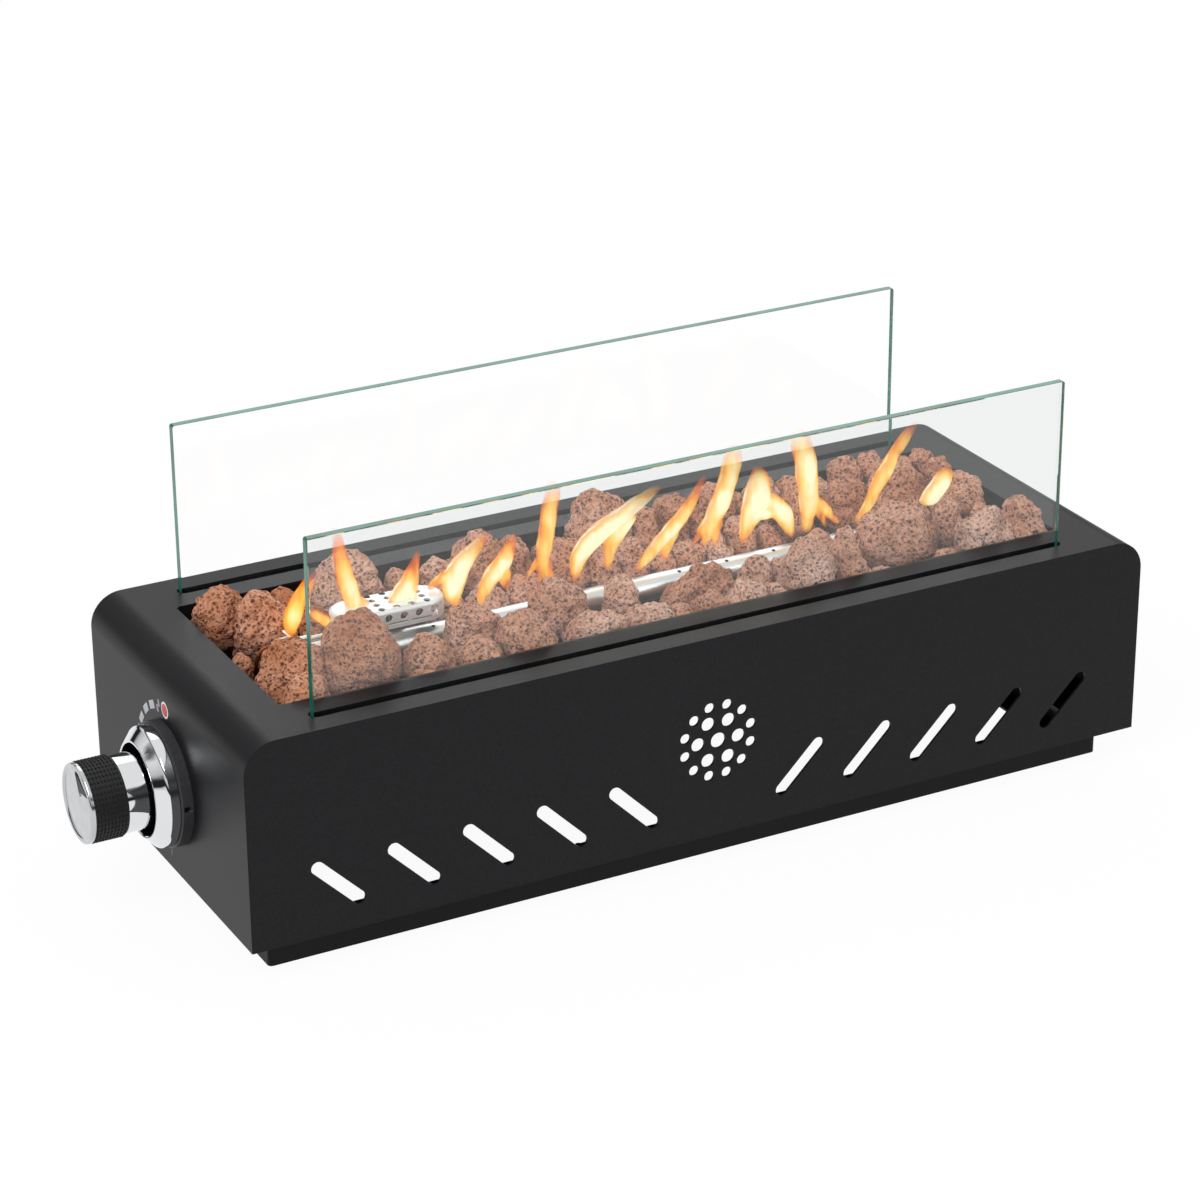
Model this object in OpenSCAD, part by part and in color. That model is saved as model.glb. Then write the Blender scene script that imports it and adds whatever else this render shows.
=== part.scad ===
// Tabletop gas fire pit: a folded sheet-steel housing on a recessed plinth, a tray
// with a stainless tube burner under a bed of lava stones, two lift-out glass wind
// guards, and a push-and-turn gas valve with a chromed knob on the left end.
// Millimetres, +Z up. The origin is on the ground, under the middle of the whole
// object's length (knob included) and of its depth.

/* [Housing] */
// Length of the housing, without the knob
housing_length = 550; // [540:1:600]
// Depth of the housing, front to back
housing_depth = 212; // [208:1:226]
// Height of the housing above the plinth
housing_height = 118.5; // [116:0.5:130]
// Outer radius of the two bends between the top and the ends
bend_radius = 18; // [12:1:22]
// Thickness of the housing's sheet steel
sheet = 1.5; // [1.2:0.1:1.8]
// Strip of top sheet between each end of the housing and the opening over the stones
end_shelf = 36; // [32:0.5:38]
// Strip of top sheet between the front or back of the housing and the opening
side_shelf = 36.25; // [35:0.25:38]
// Corner radius of the opening
opening_corner = 3; // [1:0.5:6]
// Strip of top sheet between the opening and each glass slot
slot_strip = 14.5; // [13.5:0.5:15.5]
// Width of a glass slot, and inner width of the channel under it
slot_width = 8; // [7.5:0.5:8.5]
// How far a glass slot stops short of each end of the opening
slot_set_back = 8.5; // [6:0.5:9.5]

/* [Vent slots] */
// Vent slots on each side of the middle
vents_per_side = 5; // [3:1:5]
// Distance from the housing's end to the last vent slot
vent_end = 49.7; // [46.7:0.5:78.7]
// Distance from the middle to the first vent slot
vent_start = 51.7; // [44:0.1:54]
// Distance between the end centres of a vent slot
vent_length = 32; // [24:1:34]
// Width of a vent slot
vent_width = 7.4; // [5:0.2:8]
// Lean of a vent slot from level
vent_lean = 45; // [35:1:55]
// Height of the vent slots' centres above the housing's lower edge
vent_rise = 28.8; // [24:0.2:34]
// Height of the vent rosette's centre above the housing's lower edge
rosette_rise = 57; // [52:1:62]
// Radius of the hole in the middle of the rosette
rosette_eye_radius = 4.5; // [3:0.5:6]
// Distance from the rosette's middle to its inner ring of holes
rosette_inner_ring = 12.5; // [11.5:0.5:13.5]
// Radius of the holes in the inner ring
rosette_inner_radius = 4; // [3:0.25:4.5]
// Distance from the rosette's middle to its outer ring of holes
rosette_outer_ring = 21; // [20.5:0.5:24]
// Radius of the holes in the outer ring
rosette_outer_radius = 3; // [2:0.25:3.5]

/* [Plinth and feet] */
// Height of the plinth's wall
plinth_height = 18.5; // [16:0.5:24]
// Set-back of the plinth from the housing's ends
plinth_inset_ends = 14.7; // [12:0.1:18]
// Set-back of the plinth from the housing's front and back
plinth_inset_sides = 14.2; // [12:0.1:16]
// Width of the lip that the plinth is screwed on by
plinth_lip = 9; // [8:0.5:9.5]
// Width of the flange that carries the feet
foot_flange = 14; // [13:0.5:18]
// How far the rubber feet stand out under the plinth
foot_lift = 1.5; // [1:0.5:3]
// Distance from a rubber foot's centre to the plinth's end
foot_inset = 34; // [24:1:44]
// Radius of a rubber foot
foot_radius = 6; // [4:0.5:6]
// Width of the gap in the back of the plinth for the gas hose
hose_notch_width = 30; // [20:1:32]
// Distance from the plinth's end to the middle of the gap
hose_notch_inset = 66.3; // [62.3:0.5:160.3]

/* [Burner tray] */
// Depth of the tray under the top sheet
tray_depth = 29; // [28:0.5:34]
// Thickness of the tray's sheet
tray_sheet = 1.2; // [1:0.1:1.5]
// Width of the tray's rim
tray_rim = 9; // [8.5:0.25:9.5]
// How far the tray's walls stand back from the opening's edge
tray_set_back = 0.25; // [0.1:0.05:0.4]

/* [Burner] */
// Outer radius of the burner tube
tube_radius = 8; // [7:0.25:8.5]
// Wall of the burner tube
tube_wall = 1; // [0.8:0.1:1.2]
// Depth of the burner tube's centre below the housing's top
tube_drop = 15.7; // [14.5:0.1:17]
// Distance from the right wall of the tray to the burner tube's end
tube_right_gap = 48; // [47:1:58]
// Distance from the left wall of the tray to the tube's upright part
tube_left_gap = 49; // [48:1:50]
// Bend radius of the burner tube, at its centre
tube_bend = 14; // [13:0.5:14.5]
// Length of the upright part under the bend
tube_upright = 26; // [24:0.5:27]
// Flame ports in each row
port_count = 11; // [5:1:11]
// Distance from one flame port to the next
port_pitch = 30.5; // [24:0.5:31]
// Radius of a flame port
port_radius = 1.1; // [0.8:0.1:1.4]
// Lean of each row of ports from straight up
port_lean = 16; // [8:1:35]

/* [Pilot cover] */
// Distance between the centres of the cover's two round ends
cover_length = 40; // [36:1:42]
// Outer radius of the cover's round ends, half its width
cover_radius = 12.7; // [12:0.1:13.2]
// Height of the cover's top above the housing's top
cover_rise = 12; // [10:0.5:14]
// Height of the cover's skirt
cover_skirt = 11; // [10.5:0.5:12]
// Thickness of the cover's sheet
cover_sheet = 1; // [0.8:0.1:1]
// Radius of the holes in the cover's top
cover_hole_radius = 1.9; // [1.4:0.1:2.2]
// Radius of the holes in the cover's skirt
skirt_hole_radius = 2.2; // [1.6:0.1:2.3]

/* [Glass guards] */
// Gap between a glass guard and each end of its slot
glass_end_gap = 2; // [2:0.5:10]
// Thickness of the glass
glass_thickness = 5; // [4:0.5:5]
// Height of a glass guard above the housing's top
glass_rise = 97.5; // [80:0.5:120]
// How deep a glass guard stands in its channel
glass_seat = 20; // [16:1:22]
// Corner radius of the glass
glass_corner = 1.5; // [1:0.5:4]
// Thickness of the channel's sheet
channel_sheet = 1.2; // [1:0.1:1.2]
// Thickness of the rubber pads under the glass
pad_height = 2.2; // [1.5:0.1:3]
// Length of the rubber pads and wedges
pad_length = 24; // [16:1:40]
// Distance from a glass guard's end to the middle of a pad
pad_inset = 63.5; // [40:0.5:108]
// Height of the rubber wedges in front of the glass
wedge_height = 12; // [8:1:16]
// Gap between the glass and the back of its channel
glass_back_gap = 0.5; // [0.4:0.1:0.6]

/* [Valve and knob] */
// Depth of the knob's axis below the housing's top
knob_drop = 66.5; // [65.5:0.5:72.5]
// Radius of the valve's stem
stem_radius = 4; // [3.5:0.25:4.25]
// Travel of the knob when it is pushed in
push_travel = 5; // [3:0.5:5]
// Outer radius of the black ring on the end wall
ring_radius = 34.5; // [33:0.5:37]
// Height of the black ring
ring_height = 6.5; // [6:0.5:7.5]
// Radius of the ring's bore
ring_bore = 27; // [26.5:0.25:28]
// Outer radius of the chromed bezel
bezel_radius = 33.2; // [32:0.1:34]
// Height of the bezel's straight rim
bezel_rim = 6; // [5:0.5:8]
// Height of the bezel's cone
bezel_cone = 5.5; // [4.5:0.5:6.5]
// Radius of the bezel's mouth
bezel_mouth = 25.4; // [24.5:0.1:25.6]
// Outer radius of the knob's chromed barrel
barrel_radius = 21.3; // [19.5:0.1:22]
// Distance from the end wall to the barrel's inner end
barrel_stand_off = 16; // [15.5:0.5:17]
// Visible length of the chromed barrel
barrel_length = 15; // [12:0.5:18]
// Outer radius of the rubber grip
grip_radius = 22.4; // [20:0.1:24]
// Length of the rubber grip
grip_length = 18.5; // [15:0.5:24]
// Flutes around the grip
grip_flutes = 44; // [24:2:60]
// Thickness of the knob's cap at its rim
cap_height = 2.5; // [2:0.5:4]

/* [Fits] */
// Radial clearance of a shaft that turns or slides in its bore
running_fit = 0.05; // [0.03:0.01:0.08]
// Radial clearance of a screw or pipe in its hole
hole_clearance = 0.25; // [0.2:0.05:0.3]
// Clearance between the glass and its wedges
glass_clearance = 0.3; // [0.2:0.05:0.4]
// Gap between neighbouring stones
stone_gap = 0.8; // [0.5:0.1:1.5]

/* [Hidden] */
$fn = 64;
overcut = 1;             // how far a cutter runs past the face that it cuts
screw_radius = 2;        // M4 screws and studs
small_screw_radius = 1.5; // M3 screws
screw_head_radius = 3.5;
screw_head_height = 2.2;
fold_gap = 0.8;          // gap between two folded flanges in one corner

// Heights
plinth_bottom = foot_lift;
housing_bottom = plinth_bottom + plinth_height;
housing_top = housing_bottom + housing_height;
sheet_under = housing_top - sheet;
tray_floor = sheet_under - tray_depth;
tray_under = tray_floor - tray_sheet;
tube_axis = housing_top - tube_drop;
knob_height = housing_top - knob_drop;

// Knob and valve, measured outwards from the end wall
cap_face = barrel_stand_off + barrel_length + grip_length + cap_height;
housing_x = cap_face / 2;

// Plan
end_x = housing_length / 2;
side_y = housing_depth / 2;
plinth_x = end_x - plinth_inset_ends;
plinth_y = side_y - plinth_inset_sides;
opening_length = housing_length - 2 * end_shelf;
opening_depth = housing_depth - 2 * side_shelf;
slot_length = opening_length - 2 * slot_set_back;
glass_length = slot_length - 2 * glass_end_gap;
pad_place = glass_length / 2 - pad_inset;
hose_notch_place = plinth_x - hose_notch_inset;
vent_pitch = (end_x - vent_end - vent_start) / (vents_per_side - 1);
flange_x = plinth_x - sheet - foot_flange;
flange_y = plinth_y - sheet - foot_flange;
rail_x = flange_x - 1;
lip_x = plinth_x - sheet - plinth_lip;
lip_y = plinth_y - sheet - plinth_lip;
tray_x = opening_length / 2 + tray_set_back;
tray_y = opening_depth / 2 + tray_set_back;
slot_y = opening_depth / 2 + slot_strip + slot_width / 2;
glass_shift = slot_width / 2 - glass_back_gap - glass_thickness / 2;
front_glass_y = -slot_y + glass_shift;
rear_glass_y = slot_y + glass_shift;

// Burner
tube_bore = tube_radius - tube_wall;
tube_end_x = tray_x - tube_right_gap;
upright_x = -tray_x + tube_left_gap;
upright_bottom = tube_axis - tube_bend - tube_upright;
cover_left_x = upright_x + 24;
cover_right_x = cover_left_x + cover_length;
cover_top = housing_top + cover_rise;
cover_bottom = cover_top - cover_skirt;
first_port_x = cover_left_x + 16;
probe_axis = (tube_axis + tube_radius + cover_bottom) / 2;
probe_offset = 5.5;
insulator_radius = 3;
insulator_back = 10;
probe_radius = 2;
probe_back = 8;
ignition_lead_radius = 1.9;
thermocouple_lead_radius = 1;
bracket_x = upright_x - tube_radius - 4.5;
support_width = 2 * (tube_radius + 1.5);
support_places = [first_port_x + 1.8 * port_pitch, tube_end_x - 40];
fixing_holes = [-0.88, -0.3, 0.3, 0.88];

// Valve, measured outwards from the end wall, so inwards is negative
valve_flange = 4;
valve_back = -50;
inlet_place = valve_back + 10;
stem_socket = 26;
inlet_drop = 19;
inlet_radius = 6.58;
outlet_drop = 10;
magnet_rise = 6;
pipe_radius = 4;
lead_gap = 0.5;
pipe_bend = 10;
valve_spigot = 6;
piezo_offset = 19;
piezo_length = 35;
piezo_radius = 5.3;
piezo_nose_radius = 4;
plunger_radius = 2.5;
plate_thickness = 2;
plate_place = barrel_stand_off - 0.3 - plate_thickness;
core_radius = barrel_radius - 2.3;
hub_depth = 25;

// ---- Colours
coated_steel = "#39393d";
plinth_black = "#232227";
stainless = "#c9cbcc";
chrome_metal = "#d9dcdf";
black_rubber = "#17171a";
brass_metal = "#c7a85a";
zinc_steel = "#b4b6b8";
lava = "#8a5a48";
clear_glass = [0.72, 0.86, 0.82, 0.35];

// ---- Shared shapes

// Moves the housing so that the whole object, knob included, is centred
module placed() {
    translate([housing_x, 0, 0]) children();
}

// A box given by its lowest corner and its highest corner
module box(low, high) {
    translate(low) cube(high - low);
}

// A plate outline with rounded corners, centred
module rounded_outline(length, width, radius) {
    square([length - 2 * radius, width], center = true);
    square([length, width - 2 * radius], center = true);
    for (x = [-1, 1], y = [-1, 1])
        translate([x * (length / 2 - radius), y * (width / 2 - radius)]) circle(radius);
}

// A slot outline: two half circles joined by straight sides
module slot_outline(length, width) {
    square([length, width], center = true);
    for (x = [-1, 1]) translate([x * length / 2, 0]) circle(width / 2);
}

// The end view of the housing's long side: square feet, rounded shoulders
module arch_outline(length, height, radius) {
    translate([-length / 2, 0]) square([length, height - radius]);
    translate([-length / 2 + radius, 0]) square([length - 2 * radius, height]);
    for (x = [-1, 1]) translate([x * (length / 2 - radius), height - radius]) circle(radius);
}

// Stands an outline up in the XZ plane, from y = start to y = start + thickness
module upright(start, thickness) {
    translate([0, start + thickness, 0]) rotate([90, 0, 0]) linear_extrude(thickness) children();
}

// Knob axis: local +Z points outwards from the left end wall
module knob_axis() {
    placed() translate([-end_x, 0, knob_height]) rotate([0, -90, 0]) children();
}

// A cylinder along +X
module rod_x(start, stop, radius) {
    translate([start, 0, 0]) rotate([0, 90, 0]) cylinder(h = stop - start, r = radius);
}

// A pan-head screw that points along +Z, its head under z = 0
module pan_head_screw(length, radius = screw_radius) {
    difference() {
        translate([0, 0, -screw_head_height]) cylinder(h = screw_head_height, r = 1.75 * radius);
        translate([0, 0, -screw_head_height - overcut])
            cylinder(h = 0.5 * screw_head_height + overcut, r = 0.7 * radius, $fn = 6);
    }
    cylinder(h = length, r = radius);
}

// A tube along a smooth curve through hand-chosen points
function curve_point(a, b, c, d, t) =
    0.5 * (2 * b + (c - a) * t + (2 * a - 5 * b + 4 * c - d) * t * t
        + (3 * b - a - 3 * c + d) * t * t * t);
function curve_through(points, steps) = [
    for (i = [0 : len(points) - 2], s = [0 : steps - 1])
        curve_point(points[max(i - 1, 0)], points[i], points[i + 1],
            points[min(i + 2, len(points) - 1)], s / steps),
    points[len(points) - 1]
];
function unit(v) = v / norm(v);
function path_direction(path, i) =
    unit(path[min(i + 1, len(path) - 1)] - path[max(i - 1, 0)]);
module lead(points, radius, steps = 4, sides = 8) {
    path = curve_through(points, steps);
    last = len(path) - 1;
    ring_points = [
        for (i = [0 : last])
            let (along = path_direction(path, i),
                 across = unit(cross(along, [0.1, 1, 0.05])),
                 up = cross(along, across))
                for (k = [0 : sides - 1])
                    path[i] + radius * (cos(360 * k / sides) * across
                        + sin(360 * k / sides) * up)
    ];
    side_faces = [
        for (i = [0 : last - 1], k = [0 : sides - 1])
            let (n = (k + 1) % sides, a = i * sides, b = (i + 1) * sides)
                each [[a + k, b + k, b + n], [a + k, b + n, a + n]]
    ];
    start_face = [for (k = [0 : sides - 1]) k];
    end_face = [for (k = [sides - 1 : -1 : 0]) last * sides + k];
    polyhedron(ring_points, concat([start_face], side_faces, [end_face]));
}

// ---- Housing

// Sheet wrapped over the top and down both ends, with the opening and the glass slots
module housing_wrap() {
    wrap_depth = housing_depth - 2 * sheet;
    color(coated_steel) placed() difference() {
        union() {
            translate([0, 0, housing_bottom]) upright(-wrap_depth / 2, wrap_depth)
                difference() {
                    arch_outline(housing_length, housing_height, bend_radius);
                    translate([0, -overcut]) arch_outline(housing_length - 2 * sheet,
                        housing_height - sheet + overcut, bend_radius - sheet);
                }
            // Return flange at the foot of each end wall
            for (x = [-1, 1]) mirror([x < 0 ? 1 : 0, 0, 0])
                box([lip_x, -lip_y + fold_gap, housing_bottom],
                    [end_x - sheet, lip_y - fold_gap, housing_bottom + sheet]);
        }
        translate([0, 0, sheet_under - overcut]) linear_extrude(sheet + 2 * overcut) {
            rounded_outline(opening_length, opening_depth, opening_corner);
            for (y = [-slot_y, slot_y]) translate([0, y])
                slot_outline(slot_length - slot_width, slot_width);
        }
        end_wall_holes();
        plinth_screw_places() translate([0, 0, housing_bottom - overcut])
            cylinder(h = sheet + 2 * overcut, r = screw_radius + running_fit);
    }
}

// Holes in the left end wall, for the valve, the igniter and the knob's ring
module end_wall_holes() {
    translate([-end_x, 0, knob_height]) rotate([0, -90, 0])
        translate([0, 0, -sheet - overcut]) linear_extrude(sheet + 2 * overcut) {
            circle(bonnet_radius() + hole_clearance);
            translate([0, piezo_offset]) circle(piezo_nose_radius + hole_clearance);
            for (z = [-1, 1]) translate([z * valve_screw_offset(), 0])
                circle(screw_radius + hole_clearance);
            ring_screw_places() circle(small_screw_radius + hole_clearance);
        }
}

// Front and rear plates: rounded like the wrap, slotted, with folded flanges inside
module side_panel(with_rosette) {
    difference() {
        union() {
            translate([0, 0, housing_bottom]) upright(-side_y, sheet) difference() {
                arch_outline(housing_length, housing_height, bend_radius);
                vent_slots();
                if (with_rosette) rosette();
            }
            flange_x = end_x - bend_radius - 4;
            box([-flange_x, -side_y + sheet, sheet_under - sheet],
                [flange_x, -side_y + sheet + 8, sheet_under]);
            box([-end_x + sheet + fold_gap, -side_y + sheet, housing_bottom],
                [end_x - sheet - fold_gap, -lip_y, housing_bottom + sheet]);
        }
        plinth_screw_places() translate([0, 0, housing_bottom - overcut])
            cylinder(h = sheet + 2 * overcut, r = screw_radius + running_fit);
    }
}

// Slots that lean towards the middle from both sides
module vent_slots() {
    for (side = [-1, 1], i = [0 : vents_per_side - 1])
        translate([side * (vent_start + i * vent_pitch), vent_rise])
            rotate(side * vent_lean) slot_outline(vent_length, vent_width);
}

// Round rosette of plain holes, in the middle of the front
module rosette() {
    translate([0, rosette_rise]) {
        circle(rosette_eye_radius);
        for (i = [0 : 5]) rotate(60 * i) translate([rosette_inner_ring, 0])
            circle(rosette_inner_radius);
        for (i = [0 : 11]) rotate(30 * i + 15) translate([rosette_outer_ring, 0])
            circle(rosette_outer_radius);
    }
}

module front_panel() {
    color(coated_steel) placed() side_panel(true);
}

module rear_panel() {
    color(coated_steel) placed() mirror([0, 1, 0]) side_panel(false);
}

// ---- Plinth and feet

module plinth_screw_places() {
    for (x = [-0.9, -0.3, 0.3, 0.9], y = [-1, 1])
        translate([x * lip_x, y * (lip_y + plinth_lip / 2), 0]) children();
    for (x = [-1, 1], y = [-0.45, 0.45])
        translate([x * (lip_x + plinth_lip / 2), y * lip_y, 0]) children();
}

module foot_places() {
    for (x = [-1, 1], y = [-1, 1])
        translate([x * (plinth_x - foot_inset), y * (plinth_y - sheet - foot_flange / 2), 0])
            children();
}

// Wall, lip and foot flange all the way round. Each rail is a length of it.
module plinth_profile() {
    top = housing_bottom;
    difference() {
        translate([0, 0, plinth_bottom]) linear_extrude(plinth_height)
            rounded_outline(2 * plinth_x, 2 * plinth_y, 2.5);
        box([-plinth_x + sheet, -plinth_y + sheet, plinth_bottom + sheet],
            [plinth_x - sheet, plinth_y - sheet, top - sheet]);
        box([-lip_x, -lip_y, top - sheet - overcut], [lip_x, lip_y, top + overcut]);
        box([-flange_x, -flange_y, plinth_bottom - overcut],
            [flange_x, flange_y, plinth_bottom + sheet + overcut]);
        plinth_screw_places() translate([0, 0, top - sheet - overcut])
            cylinder(h = sheet + 2 * overcut, r = screw_radius + hole_clearance);
        foot_places() translate([0, 0, plinth_bottom - overcut])
            cylinder(h = sheet + 2 * overcut, r = foot_stem_radius() + hole_clearance);
    }
}

// One folded rail: the part of the profile from x to x and from y to y
module plinth_rail(x_low, x_high, y_low, y_high) {
    color(plinth_black) placed() intersection() {
        plinth_profile();
        box([x_low, y_low, 0], [x_high, y_high, housing_bottom + overcut]);
    }
}

module plinth_front() {
    plinth_rail(-rail_x, rail_x, -side_y, 0);
}

// The end rails run over the corners, and the long rails butt against them
module plinth_left() {
    plinth_rail(-end_x, -rail_x, -side_y, side_y);
}

module plinth_right() {
    plinth_rail(rail_x, end_x, -side_y, side_y);
}

// The back has two rails, with the gap for the gas hose between them
module plinth_rear() {
    plinth_rail(-hose_notch_place + hose_notch_width / 2, rail_x, 0, side_y);
}

module plinth_rear_short() {
    plinth_rail(-rail_x, -hose_notch_place - hose_notch_width / 2, 0, side_y);
}

function foot_stem_radius() = 2.4;

// Push-in rubber feet: a disc below, a stem and a head above the flange
module foot_pads() {
    color(black_rubber) placed() foot_places() {
        cylinder(h = foot_lift, r = foot_radius);
        cylinder(h = plinth_bottom + sheet, r = foot_stem_radius());
        translate([0, 0, plinth_bottom + sheet])
            cylinder(h = 2, r1 = foot_stem_radius() + 1, r2 = foot_stem_radius());
    }
}

module plinth_screws() {
    color(zinc_steel) placed() plinth_screw_places()
        translate([0, 0, housing_bottom - sheet]) pan_head_screw(2 * sheet + 2);
}

// ---- Burner tray

module stud_places() {
    stud_y = tray_y + tray_sheet + tray_rim - 4.2;
    for (x = fixing_holes, y = [-1, 1]) translate([x * tray_x, y * stud_y, 0]) children();
}

// A folded tray that hangs from the top sheet by its rim
module burner_tray() {
    outer_x = tray_x + tray_sheet;
    outer_y = tray_y + tray_sheet;
    color(coated_steel) placed() difference() {
        union() {
            translate([0, 0, tray_under]) linear_extrude(sheet_under - tray_under)
                rounded_outline(2 * outer_x, 2 * outer_y, opening_corner + tray_sheet);
            translate([0, 0, sheet_under - tray_sheet]) linear_extrude(tray_sheet)
                rounded_outline(2 * (outer_x + tray_rim), 2 * (outer_y + tray_rim), 6);
        }
        translate([0, 0, tray_floor]) linear_extrude(tray_depth + overcut)
            rounded_outline(2 * tray_x, 2 * tray_y, opening_corner);
        stud_places() translate([0, 0, sheet_under - tray_sheet - overcut])
            cylinder(h = tray_sheet + 2 * overcut, r = screw_radius + hole_clearance);
        translate([0, 0, tray_under - overcut]) tray_floor_holes(tray_sheet + 2 * overcut);
    }
}

// Holes in the tray's floor: burner, leads, fixing screws and a row of drain holes
module tray_floor_holes(depth) {
    translate([upright_x, 0, 0]) cylinder(h = depth, r = tube_radius + hole_clearance);
    translate([lead_drop_x(), -probe_offset, 0])
        cylinder(h = depth, r = ignition_lead_radius + 0.7);
    translate([lead_drop_x(), probe_offset, 0])
        cylinder(h = depth, r = thermocouple_lead_radius + 0.6);
    tray_screw_places() cylinder(h = depth, r = screw_radius + hole_clearance);
    for (x = [-0.3, 0, 0.3, 0.6], y = [-1, 1])
        translate([x * tray_x, y * 0.86 * tray_y, 0]) cylinder(h = depth, r = 3);
}

function lead_drop_x() = bracket_x - 17;

module tray_screw_places() {
    for (x = support_places) translate([x + support_foot() / 2, 0, 0]) children();
    translate([bracket_x - 6.5, 0, 0]) children();
    for (x = cover_leg_places()) translate([x, cover_foot_y(), 0]) children();
}

module tray_studs() {
    color(zinc_steel) placed() stud_places()
        translate([0, 0, sheet_under - 8]) cylinder(h = 8, r = screw_radius);
}

module tray_nuts() {
    color(zinc_steel) placed() stud_places()
        translate([0, 0, sheet_under - tray_sheet - 3.2]) difference() {
            cylinder(h = 3.2, r = 3.9, $fn = 6);
            translate([0, 0, -overcut]) cylinder(h = 3.2 + 2 * overcut, r = screw_radius + running_fit);
        }
}

// Screws through the tray's floor into the burner supports, the bracket and the cover
module tray_screws() {
    color(zinc_steel) placed() tray_screw_places()
        translate([0, 0, tray_under]) pan_head_screw(tray_sheet + sheet + 2);
}

// ---- Burner

module tube_outline(inner) {
    difference() {
        circle(tube_radius);
        circle(inner);
    }
}

// Straight burner tube with two rows of ports, a bend and an upright inlet
module burner_tube() {
    color(stainless) placed() translate([0, 0, tube_axis]) difference() {
        union() {
            translate([upright_x + tube_bend, 0, 0]) rotate([90, 0, 90])
                linear_extrude(tube_end_x - upright_x - tube_bend) tube_outline(tube_bore);
            translate([upright_x + tube_bend, 0, -tube_bend]) rotate([90, 0, 0])
                rotate([0, 0, 90]) rotate_extrude(angle = 90)
                    translate([tube_bend, 0]) tube_outline(tube_bore);
            translate([upright_x, 0, -tube_bend - tube_upright])
                linear_extrude(tube_upright) tube_outline(tube_bore);
        }
        for (i = [0 : port_count - 1], side = [-1, 1])
            translate([first_port_x + i * port_pitch, 0, 0]) rotate([side * port_lean, 0, 0])
                cylinder(h = tube_radius + overcut, r = port_radius, $fn = 24);
        // Air holes round the inlet, above the jet
        for (turn = [0, 90])
            translate([upright_x, 0, -tube_bend - tube_upright + 10]) rotate([90, 0, turn])
                cylinder(h = 3 * tube_radius, r = 2.2, center = true);
    }
}

// Pressed cap that closes the burner's far end
module burner_end_cap() {
    color(stainless) placed() translate([0, 0, tube_axis]) {
        rod_x(tube_end_x, tube_end_x + 1.5, tube_radius);
        rod_x(tube_end_x - 3, tube_end_x, tube_bore - running_fit);
    }
}

function support_foot() = 12;

// Two bent brackets that hold the tube above the tray's floor
module burner_supports() {
    ring_radius_out = tube_radius + 1.5;
    color(stainless) placed() for (x = support_places) difference() {
        union() {
            translate([x - sheet, 0, tube_axis]) rotate([90, 0, 90])
                linear_extrude(sheet) circle(ring_radius_out);
            box([x - sheet, -support_width / 2, tray_floor],
                [x, support_width / 2, tube_axis]);
            box([x - sheet, -support_width / 2, tray_floor],
                [x + support_foot(), support_width / 2, tray_floor + sheet]);
        }
        translate([0, 0, tube_axis])
            rod_x(x - sheet - overcut, x + overcut, tube_radius + running_fit);
        translate([x + support_foot() / 2, 0, tray_floor - overcut])
            cylinder(h = sheet + 2 * overcut, r = screw_radius + running_fit);
    }
}

// ---- Pilot cover and probes

// Half of the cover's section, from its middle to its skirt, with a rounded edge
module cover_section() {
    edge = 2.5;
    difference() {
        union() {
            square([cover_radius, cover_skirt - edge]);
            square([cover_radius - edge, cover_skirt]);
            translate([cover_radius - edge, cover_skirt - edge]) circle(edge);
        }
        translate([-overcut, -overcut]) {
            inside = cover_radius - cover_sheet + overcut;
            height = cover_skirt - cover_sheet + overcut;
            bend = edge - cover_sheet;
            square([inside, height - bend]);
            square([inside - bend, height]);
            translate([inside - bend, height - bend]) circle(bend);
        }
        translate([-2 * cover_radius, -cover_skirt]) square([2 * cover_radius, 3 * cover_skirt]);
    }
}

function cover_leg_places() = [cover_left_x + 10, cover_right_x - 9];
function cover_foot_y() = cover_radius + 6;

// Perforated cover with round ends, and two legs behind that stand on the tray
module pilot_cover() {
    color(stainless) placed() difference() {
        union() {
            translate([0, 0, cover_bottom]) {
                for (side = [-1, 1]) translate([side < 0 ? cover_left_x : cover_right_x, 0, 0])
                    rotate([0, 0, side * -90]) rotate_extrude(angle = 180) cover_section();
                for (side = [0, 1]) mirror([0, side, 0]) translate([cover_left_x, 0, 0])
                    rotate([90, 0, 90]) linear_extrude(cover_length) cover_section();
            }
            for (x = cover_leg_places()) {
                box([x - 4, cover_radius - cover_sheet, tray_floor],
                    [x + 4, cover_radius, cover_bottom + 2]);
                box([x - 4, cover_radius - cover_sheet, tray_floor],
                    [x + 4, cover_radius + 10, tray_floor + cover_sheet]);
            }
        }
        for (x = [0 : 4], y = [-1.5, -0.5, 0.5, 1.5])
            translate([cover_left_x + 4 + 8.9 * x, 6.3 * y, cover_top - 2 * cover_sheet])
                cylinder(h = 3 * cover_sheet, r = cover_hole_radius, $fn = 32);
        for (x = [0 : 4], y = [-1, 1])
            translate([cover_left_x + 6.7 + 9 * x, y * (cover_radius - cover_sheet / 2),
                cover_bottom + 6.2]) rotate([90, 0, 0])
                cylinder(h = 2 * cover_sheet, r = skirt_hole_radius, center = true, $fn = 32);
        // Long air slots near the foot of the skirt, with bridges between them
        for (x = [0 : 2])
            box([cover_left_x + 1 + 14 * x, -cover_radius - overcut, cover_bottom + 2.2],
                [cover_left_x + 13 + 14 * x, -cover_radius + 2 * cover_sheet, cover_bottom + 3.2]);
        for (x = cover_leg_places()) translate([x, cover_foot_y(), tray_floor - overcut])
            cylinder(h = cover_sheet + 2 * overcut, r = screw_radius + running_fit);
    }
}

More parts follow.
